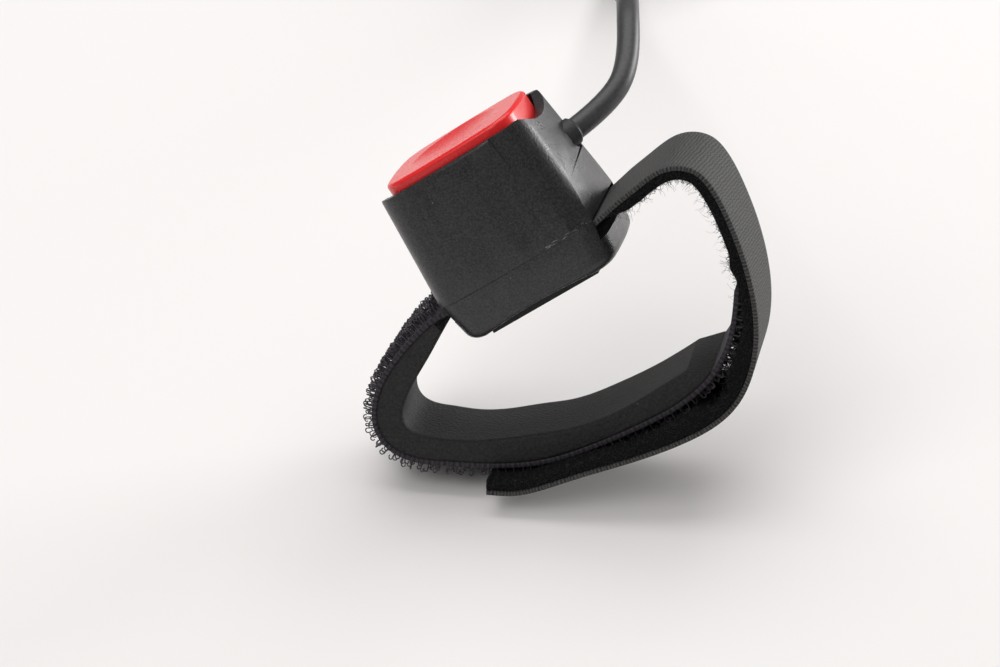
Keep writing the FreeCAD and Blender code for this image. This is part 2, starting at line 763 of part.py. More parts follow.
def conductor(label, side, foot):
    """One insulated wire from inside the relief down to the board."""
    across = V(-exit_sin.value, exit_cos.value, 0) * side
    reach = s["relief_inside"].value
    start, corner = (V(*[m.value for m in on_exit(Measure("", -d))]) + across
                     for d in (reach / 2, reach + WIRE_LEAD))
    shape = tube([start, corner, V(*foot)], s["conductor_radius"].value)[0]
    return feature(label, shape)


WIRE_LEAD = 2.6
WIRE_SIDE = 0.62
RED_FOOT, BLACK_FOOT = (9.4, 4.4, 1.65), (10.6, 1.0, 1.65)

hook_line, loop_line = Line(HOOK_LINE), Line(LOOP_LINE)
housing_pieces = [upper_housing(), lower_shell(), saddle_pad(), button_cap(), circuit_board(),
                  switch_body(), switch_plunger(), switch_terminals(), strain_relief(),
                  conductor("conductor_red", WIRE_SIDE, RED_FOOT),
                  conductor("conductor_black", -WIRE_SIDE, BLACK_FOOT)]
strap_pieces = [foam_lining(hook_line), hook_tape(hook_line), loop_tape(loop_line)]

# the ring stands on the strap's far bottom edge and leans back
lean = Turn(V(1, 0, 0), -s["ring_lean"].value)
ring_place = Place(V(), lean)
housing_place = ring_place * Place(V(), Turn(V(0, 1, 0), -s["housing_tilt"].value))
doc.recompute()
extent = FreeCAD.BoundBox()
for pieces, place in ((housing_pieces, housing_place), (strap_pieces, ring_place)):
    for piece in pieces:
        piece.Placement = place
        for point in piece.Shape.tessellate(0.02)[0]:
            extent.add(point)
shift = V(-extent.Center.x, -extent.Center.y, -extent.ZMin)
for piece in housing_pieces + strap_pieces:
    piece.Placement = Place(shift, Turn()) * piece.Placement
print("seam centre", shift, "extent", extent)

# the cord from the strain relief to the coil: near the housing in the seam's frame,
# behind it with heights above the table
root = housing_place.multVec(V(*[m.value for m in on_exit(s["relief_outside"] + s["relief_nose"])]))
CORD_NEAR = [root, V(11.63, 16.84, 18.87), V(14.03, 24.18, 22.25), V(11.11, 40.81, 27.75),
             V(5.69, 72.0, 8.6), V(-1.5, 112.0, -9.6)]
CORD_BEHIND = [(-11.0, 146.0, 17.3), (-16.0, 174.0, 6.6), (-16.0, 199.0, 4.75)]
TAIL = [(26.0, 209.5, 4.75), (26.0, 197.3, 7.9), (13.7, 185.0, 10.85), (-3.7, 185.0, 11.6),
        (-16.0, 197.3, 12.6), (-11.9, 212.8, 12.8)]


def above_table(points):
    return [V(x + shift.x, y + shift.y, height) for x, y, height in points]


cord_points = [point + shift for point in CORD_NEAR] + above_table(CORD_BEHIND)
tail_points = above_table(TAIL)


def cable(label, points):
    shape, radii, length, ratio = tube(points, s["cord_diameter"].value / 2)
    print(label, "bend radii", radii, "length", round(length, 1), "volume ratio", round(ratio, 4))
    print(label, "route", [tuple(round(c / 1000, 5) for c in point) for point in points])
    return feature(label, shape)


def rounded_section(width, height, corner, middle):
    """A face in the XZ plane with rounded corners around its middle."""
    corners = [middle + V(x * width / 2, 0, z * height / 2)
               for x, z in ((-1, -1), (1, -1), (1, 1), (-1, 1), (-1, -1))]
    block = Part.Face(Part.makePolygon(corners)).extrude(V(0, 1, 0))
    block = block.makeFillet(corner, [e for e in block.Edges if e.BoundBox.YLength > 0.9])
    return [f for f in block.Faces if f.BoundBox.YMax < middle.y + 0.01][0]


def cord_coil():
    """The put-away cord as one closed ring, held a tie's thickness above the table."""
    section = rounded_section(s["coil_bundle_width"].value, s["coil_bundle_height"].value,
                              s["coil_edge_round"].value,
                              V(s["coil_turn_diameter"].value / 2, 0, coil_middle))
    thing = feature("cord_coil", section.revolve(V(), V(0, 0, 1), 360))
    thing.Placement = coil_place
    return thing


def coil_tie():
    """A band round the bundle, shaped to its curve."""
    fit, wall = s["tie_fit"].value, s["tie_thickness"].value
    faces = []
    for grow in (fit + wall, fit):
        faces.append(rounded_section(s["coil_bundle_width"].value + 2 * grow,
                                     s["coil_bundle_height"].value + 2 * grow,
                                     s["coil_edge_round"].value + grow,
                                     V(s["coil_turn_diameter"].value / 2, 0, coil_middle)))
    angle = math.degrees(s["tie_width"].value / (s["coil_turn_diameter"].value / 2))
    outer, inner = (face.revolve(V(), V(0, 0, 1), angle) for face in faces)
    thing = feature("coil_tie", outer.cut(inner))
    thing.Placement = coil_place * Place(V(), Turn(V(0, 0, 1), 90 - angle / 2))
    return thing


coil_middle = (s["tie_thickness"] + s["tie_fit"] + s["coil_bundle_height"] / 2).value
coil_place = Place(V(shift.x + s["coil_side"].value, shift.y + s["coil_back"].value, 0), Turn())
cords = [cable("cord", cord_points), cord_coil(), cable("cord_tail", tail_points)]
heading = tail_points[-1] - tail_points[-2]
plug_place = Place(tail_points[-1], Turn(V(0, 0, 1), heading))


def plug_boot():
    """Ribbed sleeve over the cord's end."""
    cone = solid("Cone", "BootCone", {"Radius1": s["plug_boot_start_radius"],
                                      "Radius2": s["plug_boot_end_radius"],
                                      "Height": s["plug_boot_length"]}, (ZERO, ZERO, ZERO))
    step = s["plug_boot_length"] / 5
    grooves = [solid("Torus", f"BootGroove{k}",
                     {"Radius1": s["plug_boot_end_radius"], "Radius2": s["plug_edge"] / 2},
                     (ZERO, ZERO, k * step)) for k in (1, 2, 3, 4)]
    return combine("Cut", "plug_boot", cone, combine("MultiFuse", "BootGrooves", *grooves))


def plug_body():
    start = s["plug_boot_length"]
    main = rod_at("PlugMain", s["plug_body_radius"], s["plug_body_length"] - 2 * s["plug_edge"],
                  ZERO, ZERO, start + s["plug_edge"])
    ends = [solid("Cone", f"PlugEnd{k}", {
        "Radius1": s["plug_body_radius"] - (s["plug_edge"] if k == 0 else ZERO),
        "Radius2": s["plug_body_radius"] - (ZERO if k == 0 else s["plug_edge"]),
        "Height": s["plug_edge"]},
        (ZERO, ZERO, start + k * (s["plug_body_length"] - s["plug_edge"]))) for k in (0, 1)]
    return combine("MultiFuse", "plug_body", main, *ends)


def jack_sleeve():
    start = s["plug_boot_length"] + s["plug_body_length"]
    shoulder = rod_at("JackShoulder", s["jack_shoulder_radius"], s["jack_shoulder_length"],
                      ZERO, ZERO, start)
    barrel = rod_at("JackBarrel", s["jack_radius"], s["jack_sleeve_length"], ZERO, ZERO, start)
    return combine("MultiFuse", "jack_sleeve", shoulder, barrel)


def jack_insulator():
    start = s["plug_boot_length"] + s["plug_body_length"] + s["jack_sleeve_length"]
    disc = rod_at("InsulatorDisc", s["jack_radius"], s["jack_insulator_length"],
                  ZERO, ZERO, start)
    bore = rod_at("InsulatorBore", s["jack_stem_radius"] + s["hole_fit"],
                  s["jack_insulator_length"], ZERO, ZERO, start)
    return combine("Cut", "jack_insulator", disc, bore)


def jack_tip():
    """Contact tip with a waist behind its point."""
    start = s["plug_boot_length"] + s["plug_body_length"] + (
        s["jack_sleeve_length"] + s["jack_insulator_length"])
    part = s["jack_tip_length"] / 3
    waist = s["jack_radius"] * 0.75
    cones = [("Waist", s["jack_radius"], waist, 0), ("Swell", waist, s["jack_radius"], 1),
             ("Point", s["jack_radius"], s["jack_radius"] * 0.3, 2)]
    pieces = [solid("Cone", f"Tip{name}", {"Radius1": low, "Radius2": high, "Height": part},
                    (ZERO, ZERO, start + k * part)) for name, low, high, k in cones]
    stem = rod_at("TipStem", s["jack_stem_radius"], s["jack_insulator_length"],
                  ZERO, ZERO, start - s["jack_insulator_length"])
    return combine("MultiFuse", "jack_tip", stem, *pieces)


plug_pieces = [plug_boot(), plug_body(), jack_sleeve(), jack_insulator(), jack_tip()]
doc.recompute()
for piece in plug_pieces:
    piece.Placement = plug_place
pieces = housing_pieces + strap_pieces + cords + [coil_tie()] + plug_pieces
doc.recompute()

for thing in doc.Objects:
    if "Invalid" in thing.State or "Error" in thing.State:
        raise RuntimeError(f"{thing.Name} does not compute: {thing.State}")
os.makedirs("parts", exist_ok=True)
for piece in pieces:
    shape = piece.Shape
    if shape.isNull() or not shape.isValid():
        raise RuntimeError(f"{piece.Label} has no valid shape")
    box = shape.BoundBox
    print(piece.Label, len(shape.Solids), "volume", round(shape.Volume, 1), "from",
          [round(v, 2) for v in (box.XMin, box.YMin, box.ZMin)], "to",
          [round(v, 2) for v in (box.XMax, box.YMax, box.ZMax)])
    shape.exportStep(os.path.join("parts", f"{piece.Label}.step"))
print("pieces", len(pieces))
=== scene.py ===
import math

import bmesh
import bpy
import numpy as np
from mathutils import Matrix, Vector


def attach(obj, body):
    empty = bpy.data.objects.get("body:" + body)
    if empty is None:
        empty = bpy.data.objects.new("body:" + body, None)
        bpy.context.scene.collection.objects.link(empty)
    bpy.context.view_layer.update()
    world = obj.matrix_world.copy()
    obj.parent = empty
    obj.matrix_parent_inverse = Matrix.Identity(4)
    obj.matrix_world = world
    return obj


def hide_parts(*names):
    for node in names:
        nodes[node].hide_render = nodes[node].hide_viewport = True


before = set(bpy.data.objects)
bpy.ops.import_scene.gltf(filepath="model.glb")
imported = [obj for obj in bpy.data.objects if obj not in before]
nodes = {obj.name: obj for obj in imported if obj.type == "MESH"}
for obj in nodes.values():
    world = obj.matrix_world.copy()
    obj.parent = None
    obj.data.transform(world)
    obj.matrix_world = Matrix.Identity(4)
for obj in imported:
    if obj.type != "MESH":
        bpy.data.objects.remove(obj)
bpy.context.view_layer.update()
draw = np.random.default_rng(41)

# the seam's middle in the row frame in metres, the ring's lean and the housing's tilt
seam = np.array([-0.0069838, 0.0035192, 0.0413337])
ringLean, housingTilt = math.radians(-12.0), math.radians(-34.5)
leanTurn = np.array(Matrix.Rotation(ringLean, 3, "X"))
housingTurn = leanTurn @ np.array(Matrix.Rotation(housingTilt, 3, "Y"))
mm = 0.001


# ring points in millimetres to the row frame in metres
def toWorld(points):
    return seam + (np.asarray(points, float) @ leanTurn.T) * mm


# a point of the housing's own axes, along and up, in the ring's plane
def ringPoint(u, w):
    c, s = math.cos(-housingTilt), math.sin(-housingTilt)
    return (u * c - w * s, u * s + w * c)


# helpers for materials, then the shared shader groups
def newMaterial(name):
    mat = bpy.data.materials.new(name)
    mat.use_nodes = True
    tree = mat.node_tree
    return mat, tree, tree.nodes["Principled BSDF"]


def add(tree, kind, **values):
    node = tree.nodes.new(kind)
    for key, value in values.items():
        if key in node.inputs:
            node.inputs[key].default_value = value
        else:
            setattr(node, key, value)
    return node


def newGroup(name, inputs, outputs):
    group = bpy.data.node_groups.new(name, "ShaderNodeTree")
    kinds = {"f": "NodeSocketFloat", "c": "NodeSocketColor"}
    for label, kind, value in inputs:
        socket = group.interface.new_socket(name=label, in_out="INPUT", socket_type=kinds[kind])
        socket.default_value = value
    for label, kind in outputs:
        group.interface.new_socket(name=label, in_out="OUTPUT", socket_type=kinds[kind])
    return group, group.nodes.new("NodeGroupInput"), group.nodes.new("NodeGroupOutput")


def place(tree, group, **values):
    node = tree.nodes.new("ShaderNodeGroup")
    node.node_tree = group
    for key, value in values.items():
        node.inputs[key].default_value = value
    return node


def sums(tree, kind, a, b=None):
    node = add(tree, "ShaderNodeMath", operation=kind)
    for socket, value in zip(node.inputs, (a, b)):
        if isinstance(value, (int, float)):
            socket.default_value = value
        elif value is not None:
            tree.links.new(value, socket)
    return node.outputs[0]


def blend(tree, factor, a, b):
    node = add(tree, "ShaderNodeMix", data_type="RGBA")
    for socket, value in zip((node.inputs[0], node.inputs[6], node.inputs[7]), (factor, a, b)):
        if isinstance(value, (tuple, float)):
            socket.default_value = value
        else:
            tree.links.new(value, socket)
    return node.outputs[2]


def ranged(tree, value, low, high, toLow=0.0, toHigh=1.0):
    node = add(tree, "ShaderNodeMapRange")
    for socket, part in zip(node.inputs, (value, low, high, toLow, toHigh)):
        if isinstance(part, (int, float)):
            socket.default_value = part
        else:
            tree.links.new(part, socket)
    return node.outputs[0]


# object coordinates in millimetres
def inMillimetres(tree):
    tex = add(tree, "ShaderNodeTexCoord")
    mapping = add(tree, "ShaderNodeMapping")
    mapping.inputs["Scale"].default_value = (1000.0, 1000.0, 1000.0)
    tree.links.new(tex.outputs["Object"], mapping.inputs["Vector"])
    return mapping


# grain: noise between two levels picks a colour between dark and light
def makeGrain():
    group, source, sink = newGroup("grain", [
        ("Scale", "f", 2.5), ("Detail", "f", 3.0), ("Low", "f", 0.35), ("High", "f", 0.65),
        ("Dark", "c", (0.01, 0.01, 0.01, 1)), ("Light", "c", (0.05, 0.05, 0.05, 1))],
        [("Color", "c"), ("Height", "f")])
    noise = add(group, "ShaderNodeTexNoise", Roughness=0.6)
    group.links.new(inMillimetres(group).outputs[0], noise.inputs["Vector"])
    for label in ("Scale", "Detail"):
        group.links.new(source.outputs[label], noise.inputs[label])
    share = ranged(group, noise.outputs["Fac"], source.outputs["Low"], source.outputs["High"])
    group.links.new(blend(group, share, source.outputs["Dark"], source.outputs["Light"]),
                    sink.inputs["Color"])
    group.links.new(noise.outputs["Fac"], sink.inputs["Height"])
    return group


# specks: small dots round the cells' points, in a share of the cells
def makeSpecks():
    group, source, sink = newGroup("specks", [
        ("Cells", "f", 0.35), ("Radius", "f", 0.04), ("Share", "f", 0.4)], [("Mask", "f")])
    cells = add(group, "ShaderNodeTexVoronoi")
    group.links.new(inMillimetres(group).outputs[0], cells.inputs["Vector"])
    group.links.new(source.outputs["Cells"], cells.inputs["Scale"])
    near = sums(group, "LESS_THAN", cells.outputs["Distance"], source.outputs["Radius"])
    split = add(group, "ShaderNodeSeparateColor")
    group.links.new(cells.outputs["Color"], split.inputs[0])
    picked = sums(group, "LESS_THAN", split.outputs[0], source.outputs["Share"])
    group.links.new(sums(group, "MULTIPLY", near, picked), sink.inputs["Mask"])
    return group


# weave: a wave along the tape, slanted across it and broken into beads across the width
def makeWeave():
    group, source, sink = newGroup("weave", [
        ("Pitch", "f", 0.6), ("Beads", "f", 0.4), ("Slant", "f", 0.0), ("Wobble", "f", 0.8),
        ("Dark", "c", (0.01, 0.01, 0.01, 1)), ("Light", "c", (0.05, 0.05, 0.05, 1))],
        [("Color", "c"), ("Height", "f")])
    tex = add(group, "ShaderNodeTexCoord")
    split = add(group, "ShaderNodeSeparateXYZ")
    group.links.new(tex.outputs["UV"], split.inputs[0])
    u, v = split.outputs["X"], split.outputs["Y"]
    loose = add(group, "ShaderNodeTexNoise", Scale=0.8, Detail=2.0)
    fine = add(group, "ShaderNodeTexNoise", Scale=4.5, Detail=4.0)
    at = inMillimetres(group)
    for noise in (loose, fine):
        group.links.new(at.outputs[0], noise.inputs["Vector"])
    swing = sums(group, "MULTIPLY", loose.outputs["Fac"], source.outputs["Wobble"])
    across = sums(group, "ADD", sums(group, "ADD", u, sums(group, "MULTIPLY", v,
                                                           source.outputs["Slant"])), swing)
    turns = sums(group, "MULTIPLY", across, 2 * math.pi)
    ribs = sums(group, "SINE", sums(group, "DIVIDE", turns, source.outputs["Pitch"]))
    along = sums(group, "MULTIPLY", sums(group, "ADD", v, sums(group, "MULTIPLY", u, 0.5)),
                 2 * math.pi)
    beads = sums(group, "SINE", sums(group, "DIVIDE", along, source.outputs["Beads"]))
    total = sums(group, "ADD", sums(group, "ADD", ribs, sums(group, "MULTIPLY", beads, 0.45)),
                 sums(group, "MULTIPLY", fine.outputs["Fac"], 1.6))
    height = ranged(group, total, -1.0, 2.2)
    group.links.new(blend(group, height, source.outputs["Dark"], source.outputs["Light"]),
                    sink.inputs["Color"])
    group.links.new(height, sink.inputs["Height"])
    return group


grainGroup, specksGroup, weaveGroup = makeGrain(), makeSpecks(), makeWeave()


def relief(tree, height, distance, strength=0.6, before=None):
    node = add(tree, "ShaderNodeBump", Strength=strength, Distance=distance)
    tree.links.new(height, node.inputs["Height"])
    if before is not None:
        tree.links.new(before, node.inputs["Normal"])
    return node.outputs["Normal"]


def shade(colour, factor):
    return (*[part * factor for part in colour], 1.0)


def paint(piece, mat):
    piece.data.materials.clear()
    piece.data.materials.append(mat)


# a plain finish: one colour with grain
def plainMaterial(name, colour, rough, scale=2.5, deep=0.00004, metallic=0.0, spread=0.2,
                  spec=0.5, sheen=0.0):
    mat, tree, bsdf = newMaterial(name)
    grain = place(tree, grainGroup, Scale=scale, Dark=shade(colour, 1 - spread),
                  Light=shade(colour, 1 + spread))
    tree.links.new(grain.outputs["Color"], bsdf.inputs["Base Color"])
    tree.links.new(relief(tree, grain.outputs["Height"], deep), bsdf.inputs["Normal"])
    bsdf.inputs["Roughness"].default_value = rough
    bsdf.inputs["Metallic"].default_value = metallic
    bsdf.inputs["Specular IOR Level"].default_value = spec
    bsdf.inputs["Sheen Weight"].default_value = sheen
    return mat


housingLook = {"dark": (0.006, 0.006, 0.007, 1), "light": (0.034, 0.033, 0.035, 1),
               "grain": 2.9, "deep": 0.00010, "roughLow": 0.27, "roughHigh": 0.36,
               "rubFrom": 7.0, "rubTo": 15.0, "rubLow": 0.05, "rubHigh": 0.65, "rubShare": 0.60,
               "worn": (0.20, 0.20, 0.20, 1), "streak": (0.9, 1.0, 7.0), "bump": 0.6,
               "specks": {"Cells": 0.22, "Radius": 0.022, "Share": 0.5}}


# black moulded plastic: fine speckle, satin, with a rubbed line just above the seam
def housingMaterial():
    look = housingLook
    mat, tree, bsdf = newMaterial("housingPlastic")
    grain = place(tree, grainGroup, Scale=look["grain"], Detail=3.0, Low=0.36, High=0.66,
                  Dark=look["dark"], Light=look["light"])
    specks = place(tree, specksGroup, **look["specks"])
    tex = add(tree, "ShaderNodeTexCoord")
    own = add(tree, "ShaderNodeMapping")               # the housing's own axes in millimetres
    own.inputs["Scale"].default_value = (1000.0, 1000.0, 1000.0)
    own.inputs["Rotation"].default_value = Matrix(housingTurn.T.tolist()).to_euler("XYZ")
    own.inputs["Location"].default_value = tuple(-housingTurn.T @ seam / mm)
    tree.links.new(tex.outputs["Object"], own.inputs["Vector"])
    split = add(tree, "ShaderNodeSeparateXYZ")
    tree.links.new(own.outputs[0], split.inputs[0])
    u, w = split.outputs["X"], split.outputs["Z"]
    inLength = sums(tree, "MULTIPLY", sums(tree, "GREATER_THAN", u, look["rubFrom"]),
                    sums(tree, "LESS_THAN", u, look["rubTo"]))
    inHeight = sums(tree, "MULTIPLY", sums(tree, "GREATER_THAN", w, look["rubLow"]),
                    sums(tree, "LESS_THAN", w, look["rubHigh"]))
    stretch = add(tree, "ShaderNodeMapping")
    stretch.inputs["Scale"].default_value = look["streak"]
    tree.links.new(own.outputs[0], stretch.inputs["Vector"])
    streak = add(tree, "ShaderNodeTexNoise", Scale=1.0, Detail=4.0)
    tree.links.new(stretch.outputs[0], streak.inputs["Vector"])
    rub = sums(tree, "MULTIPLY", sums(tree, "MULTIPLY", inLength, inHeight),
               sums(tree, "GREATER_THAN", streak.outputs["Fac"], look["rubShare"]))
    marks = sums(tree, "MAXIMUM", rub, specks.outputs["Mask"])
    tree.links.new(blend(tree, marks, grain.outputs["Color"], look["worn"]),
                   bsdf.inputs["Base Color"])
    wide = add(tree, "ShaderNodeTexNoise", Scale=0.3, Detail=4.0)
    tree.links.new(inMillimetres(tree).outputs[0], wide.inputs["Vector"])
    tree.links.new(ranged(tree, wide.outputs["Fac"], 0.35, 0.65, look["roughLow"],
                          look["roughHigh"]), bsdf.inputs["Roughness"])
    tree.links.new(relief(tree, grain.outputs["Height"], look["deep"], look["bump"]),
                   bsdf.inputs["Normal"])
    return mat


buttonLook = {"dark": (0.80, 0.014, 0.016, 1), "light": (0.88, 0.024, 0.026, 1), "rough": 0.27,
              "grain": 3.6, "deep": 0.00003, "worn": (0.75, 0.30, 0.30, 1), "glow": 0.1,
              "glowReach": (0.002, 0.0004, 0.0004),
              "specks": {"Cells": 0.3, "Radius": 0.03, "Share": 0.3}}


# satin red, with a little light carried under the surface
def buttonMaterial():
    look = buttonLook
    mat, tree, bsdf = newMaterial("buttonPlastic")
    grain = place(tree, grainGroup, Scale=look["grain"], Dark=look["dark"], Light=look["light"])
    specks = place(tree, specksGroup, **look["specks"])
    tree.links.new(blend(tree, specks.outputs["Mask"], grain.outputs["Color"], look["worn"]),
                   bsdf.inputs["Base Color"])
    tree.links.new(relief(tree, grain.outputs["Height"], look["deep"], 0.5), bsdf.inputs["Normal"])
    bsdf.inputs["Roughness"].default_value = look["rough"]
    bsdf.inputs["Subsurface Weight"].default_value = look["glow"]
    bsdf.inputs["Subsurface Radius"].default_value = look["glowReach"]
    bsdf.inputs["Subsurface Scale"].default_value = 1.0
    return mat


tapeFinish = {"bump": 0.9, "rough": 0.75, "spec": 0.25}


# woven tape: the weave gives its colour and its relief
def tapeMaterial(name, look):
    mat, tree, bsdf = newMaterial(name)
    weave = place(tree, weaveGroup, Pitch=look["pitch"], Beads=look["beads"], Slant=look["slant"],
                  Dark=look["dark"], Light=look["light"])
    tree.links.new(weave.outputs["Color"], bsdf.inputs["Base Color"])
    tree.links.new(relief(tree, weave.outputs["Height"], look["deep"], tapeFinish["bump"]),
                   bsdf.inputs["Normal"])
    bsdf.inputs["Roughness"].default_value = tapeFinish["rough"]
    bsdf.inputs["Sheen Weight"].default_value = look["sheen"]
    bsdf.inputs["Specular IOR Level"].default_value = tapeFinish["spec"]
    return mat


foamLook = {"dark": (0.006, 0.006, 0.0065, 1), "light": (0.028, 0.026, 0.025, 1),
            "lint": (0.16, 0.15, 0.14, 1), "cells": 1.6, "cellDeep": 0.00020,
            "grainDeep": 0.00018, "rough": 0.7, "spec": 0.35,
            "fine": {"Scale": 2.4, "Detail": 5.0, "Low": 0.3, "High": 0.72},
            "specks": {"Cells": 0.45, "Radius": 0.035, "Share": 0.35}}


# closed-cell foam: rounded cells under a fine grain, with a little lint
def foamMaterial():
    look = foamLook
    mat, tree, bsdf = newMaterial("foamCells")
    fine = place(tree, grainGroup, Dark=look["dark"], Light=look["light"], **look["fine"])
    specks = place(tree, specksGroup, **look["specks"])
    tree.links.new(blend(tree, specks.outputs["Mask"], fine.outputs["Color"], look["lint"]),
                   bsdf.inputs["Base Color"])
    cells = add(tree, "ShaderNodeTexVoronoi", Scale=look["cells"])
    tree.links.new(inMillimetres(tree).outputs[0], cells.inputs["Vector"])
    first = relief(tree, cells.outputs["Distance"], look["cellDeep"], 0.5)
    tree.links.new(relief(tree, fine.outputs["Height"], look["grainDeep"], 0.7, first),
                   bsdf.inputs["Normal"])
    bsdf.inputs["Roughness"].default_value = look["rough"]
    bsdf.inputs["Specular IOR Level"].default_value = look["spec"]
    return mat


smallFinishes = {
    "circuit_board": ("boardLaminate", (0.03, 0.16, 0.07), 0.4, 2.5, 0.00004, 0.0),
    "switch_body": ("switchCase", (0.03, 0.03, 0.03), 0.5, 2.5, 0.00004, 0.0),
    "switch_plunger": ("plungerNylon", (0.70, 0.70, 0.66), 0.45, 2.5, 0.00003, 0.0),
    "switch_terminals": ("tinnedPins", (0.60, 0.60, 0.58), 0.3, 3.0, 0.00002, 1.0),
    "strain_relief": ("reliefRubber", (0.022, 0.022, 0.023), 0.55, 2.5, 0.00004, 0.0),
    "conductor_red": ("wireRed", (0.50, 0.03, 0.03), 0.35, 2.5, 0.00002, 0.0),
    "conductor_black": ("wireBlack", (0.02, 0.02, 0.02), 0.35, 2.5, 0.00002, 0.0),
    "coil_tie": ("tieFabric", (0.03, 0.03, 0.03), 0.85, 4.0, 0.0001, 0.0),
    "plug_boot": ("bootRubber", (0.03, 0.03, 0.03), 0.6, 2.5, 0.00004, 0.0),
    "plug_body": ("plugMoulding", (0.03, 0.03, 0.03), 0.45, 2.5, 0.00004, 0.0),
    "jack_sleeve": ("jackPlating", (0.70, 0.70, 0.69), 0.18, 3.0, 0.00001, 1.0),
    "jack_tip": ("tipPlating", (0.70, 0.70, 0.69), 0.18, 3.0, 0.00001, 1.0),
    "jack_insulator": ("insulatorRing", (0.02, 0.02, 0.02), 0.4, 2.5, 0.00003, 0.0)}
for nodeName, (name, colour, rough, scale, deep, metallic) in smallFinishes.items():
    paint(nodes[nodeName], plainMaterial(name, colour, rough, scale, deep, metallic))
housingBlack = housingMaterial()
paint(nodes["button_cap"], buttonMaterial())
paint(nodes["saddle_pad"], plainMaterial("padRubber", (0.018, 0.018, 0.019), 0.6, spec=0.3))
print("materials done")


# distances in metres, angles in degrees
easing = {"merge": 2e-6, "flat": 0.4, "sharp": 38, "smooth": 32, "segments": 3}


# a merged copy of the CAD piece; each sharp edge is rounded by its own radius in millimetres
def easedCopy(nodeName, name, radiusOf):
    mesh = nodes[nodeName].data.copy()
    piece = bpy.data.objects.new(name, mesh)
    bpy.context.collection.objects.link(piece)
    work = bmesh.new()
    work.from_mesh(mesh)
    bmesh.ops.remove_doubles(work, verts=work.verts, dist=easing["merge"])
    bmesh.ops.dissolve_limit(work, angle_limit=math.radians(easing["flat"]),
                             verts=work.verts, edges=work.edges)
    weights = work.edges.layers.float.new("bevel_weight_edge")
    for edge in work.edges:
        if len(edge.link_faces) == 2 and edge.calc_face_angle() > math.radians(easing["sharp"]):
            middle = (np.array(edge.verts[0].co) + np.array(edge.verts[1].co)) / 2
            edge[weights] = radiusOf(*(housingTurn.T @ (middle - seam) / mm))
    work.to_mesh(mesh)
    work.free()
    ease = piece.modifiers.new("ease", "BEVEL")
    ease.width = mm
    ease.segments = easing["segments"]
    ease.limit_method = "WEIGHT"
    ease.use_clamp_overlap = False
    for other in bpy.context.selected_objects:
        other.select_set(False)
    piece.select_set(True)
    bpy.context.view_layer.objects.active = piece
    bpy.ops.object.modifier_apply(modifier="ease")
    bpy.ops.object.shade_smooth_by_angle(angle=math.radians(easing["smooth"]))
    paint(piece, housingBlack)
    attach(piece, "housing")
    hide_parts(nodeName)
    return piece


# radii of the eased edges, and where each kind of edge lies in the housing's own axes
shellEdges = {"rim": 0.45, "rimHalf": 9.0, "rimFrom": 15.5, "end": 0.5, "endFrom": 15.5,
              "seam": 0.10, "seamHeight": 0.3, "seamHalfWidth": 11.6, "seamHalfLength": 15.4,
              "outerHalfWidth": 10.75, "outerHalfLength": 14.9, "endLow": 1.0,
              "endNear": 4.0, "endFar": 12.0, "foot": 0.45, "footBelow": -7.0,
              "footHalfWidth": 9.5, "footHalfLength": 12.5}


def onSeam(u, v):
    edges = shellEdges
    return abs(v) > edges["seamHalfWidth"] or abs(u) > edges["seamHalfLength"]


def upperRadius(u, v, w):
    edges = shellEdges
    if w < edges["seamHeight"]:
        return edges["seam"] if onSeam(u, v) else 0.0
    if w > edges["rimFrom"]:
        outside = abs(v) > edges["outerHalfWidth"] or abs(u) > edges["outerHalfLength"]
        return edges["rim"] if outside and abs(u) < edges["rimHalf"] else 0.0
    isEnd = abs(u) > edges["endFrom"] and edges["endNear"] < abs(v) < edges["endFar"]
    return edges["end"] if isEnd and w > edges["endLow"] else 0.0


def lowerRadius(u, v, w):
    edges = shellEdges
    if w > -edges["seamHeight"]:
        return edges["seam"] if onSeam(u, v) else 0.0
    isOuter = abs(v) > edges["footHalfWidth"] or abs(u) > edges["footHalfLength"]
    return edges["foot"] if w < edges["footBelow"] and isOuter else 0.0


easedCopy("upper_housing", "housingCap", upperRadius)
easedCopy("lower_shell", "housingBase", lowerRadius)
print("housing done")


# mesh helpers
def meshFrom(name, verts, faces, uvs=None):
    mesh = bpy.data.meshes.new(name)
    verts = np.asarray(verts, float).reshape(-1, 3)
    faces = np.asarray(faces)
    mesh.vertices.add(len(verts))
    mesh.vertices.foreach_set("co", verts.ravel())
    count = faces.shape[1]
    mesh.loops.add(faces.size)
    mesh.loops.foreach_set("vertex_index", faces.ravel().astype(np.int32))
    mesh.polygons.add(len(faces))
    mesh.polygons.foreach_set("loop_start", np.arange(0, faces.size, count, dtype=np.int32))
    mesh.polygons.foreach_set("loop_total", np.full(len(faces), count, dtype=np.int32))
    if uvs is not None:
        layer = mesh.uv_layers.new(name="UVMap")
        layer.data.foreach_set("uv", np.asarray(uvs, float).reshape(-1, 2)[faces.ravel()].ravel())
    mesh.update()
    mesh.validate()
    mesh.polygons.foreach_set("use_smooth", np.ones(len(mesh.polygons), bool))
    piece = bpy.data.objects.new(name, mesh)
    bpy.context.collection.objects.link(piece)
    return piece


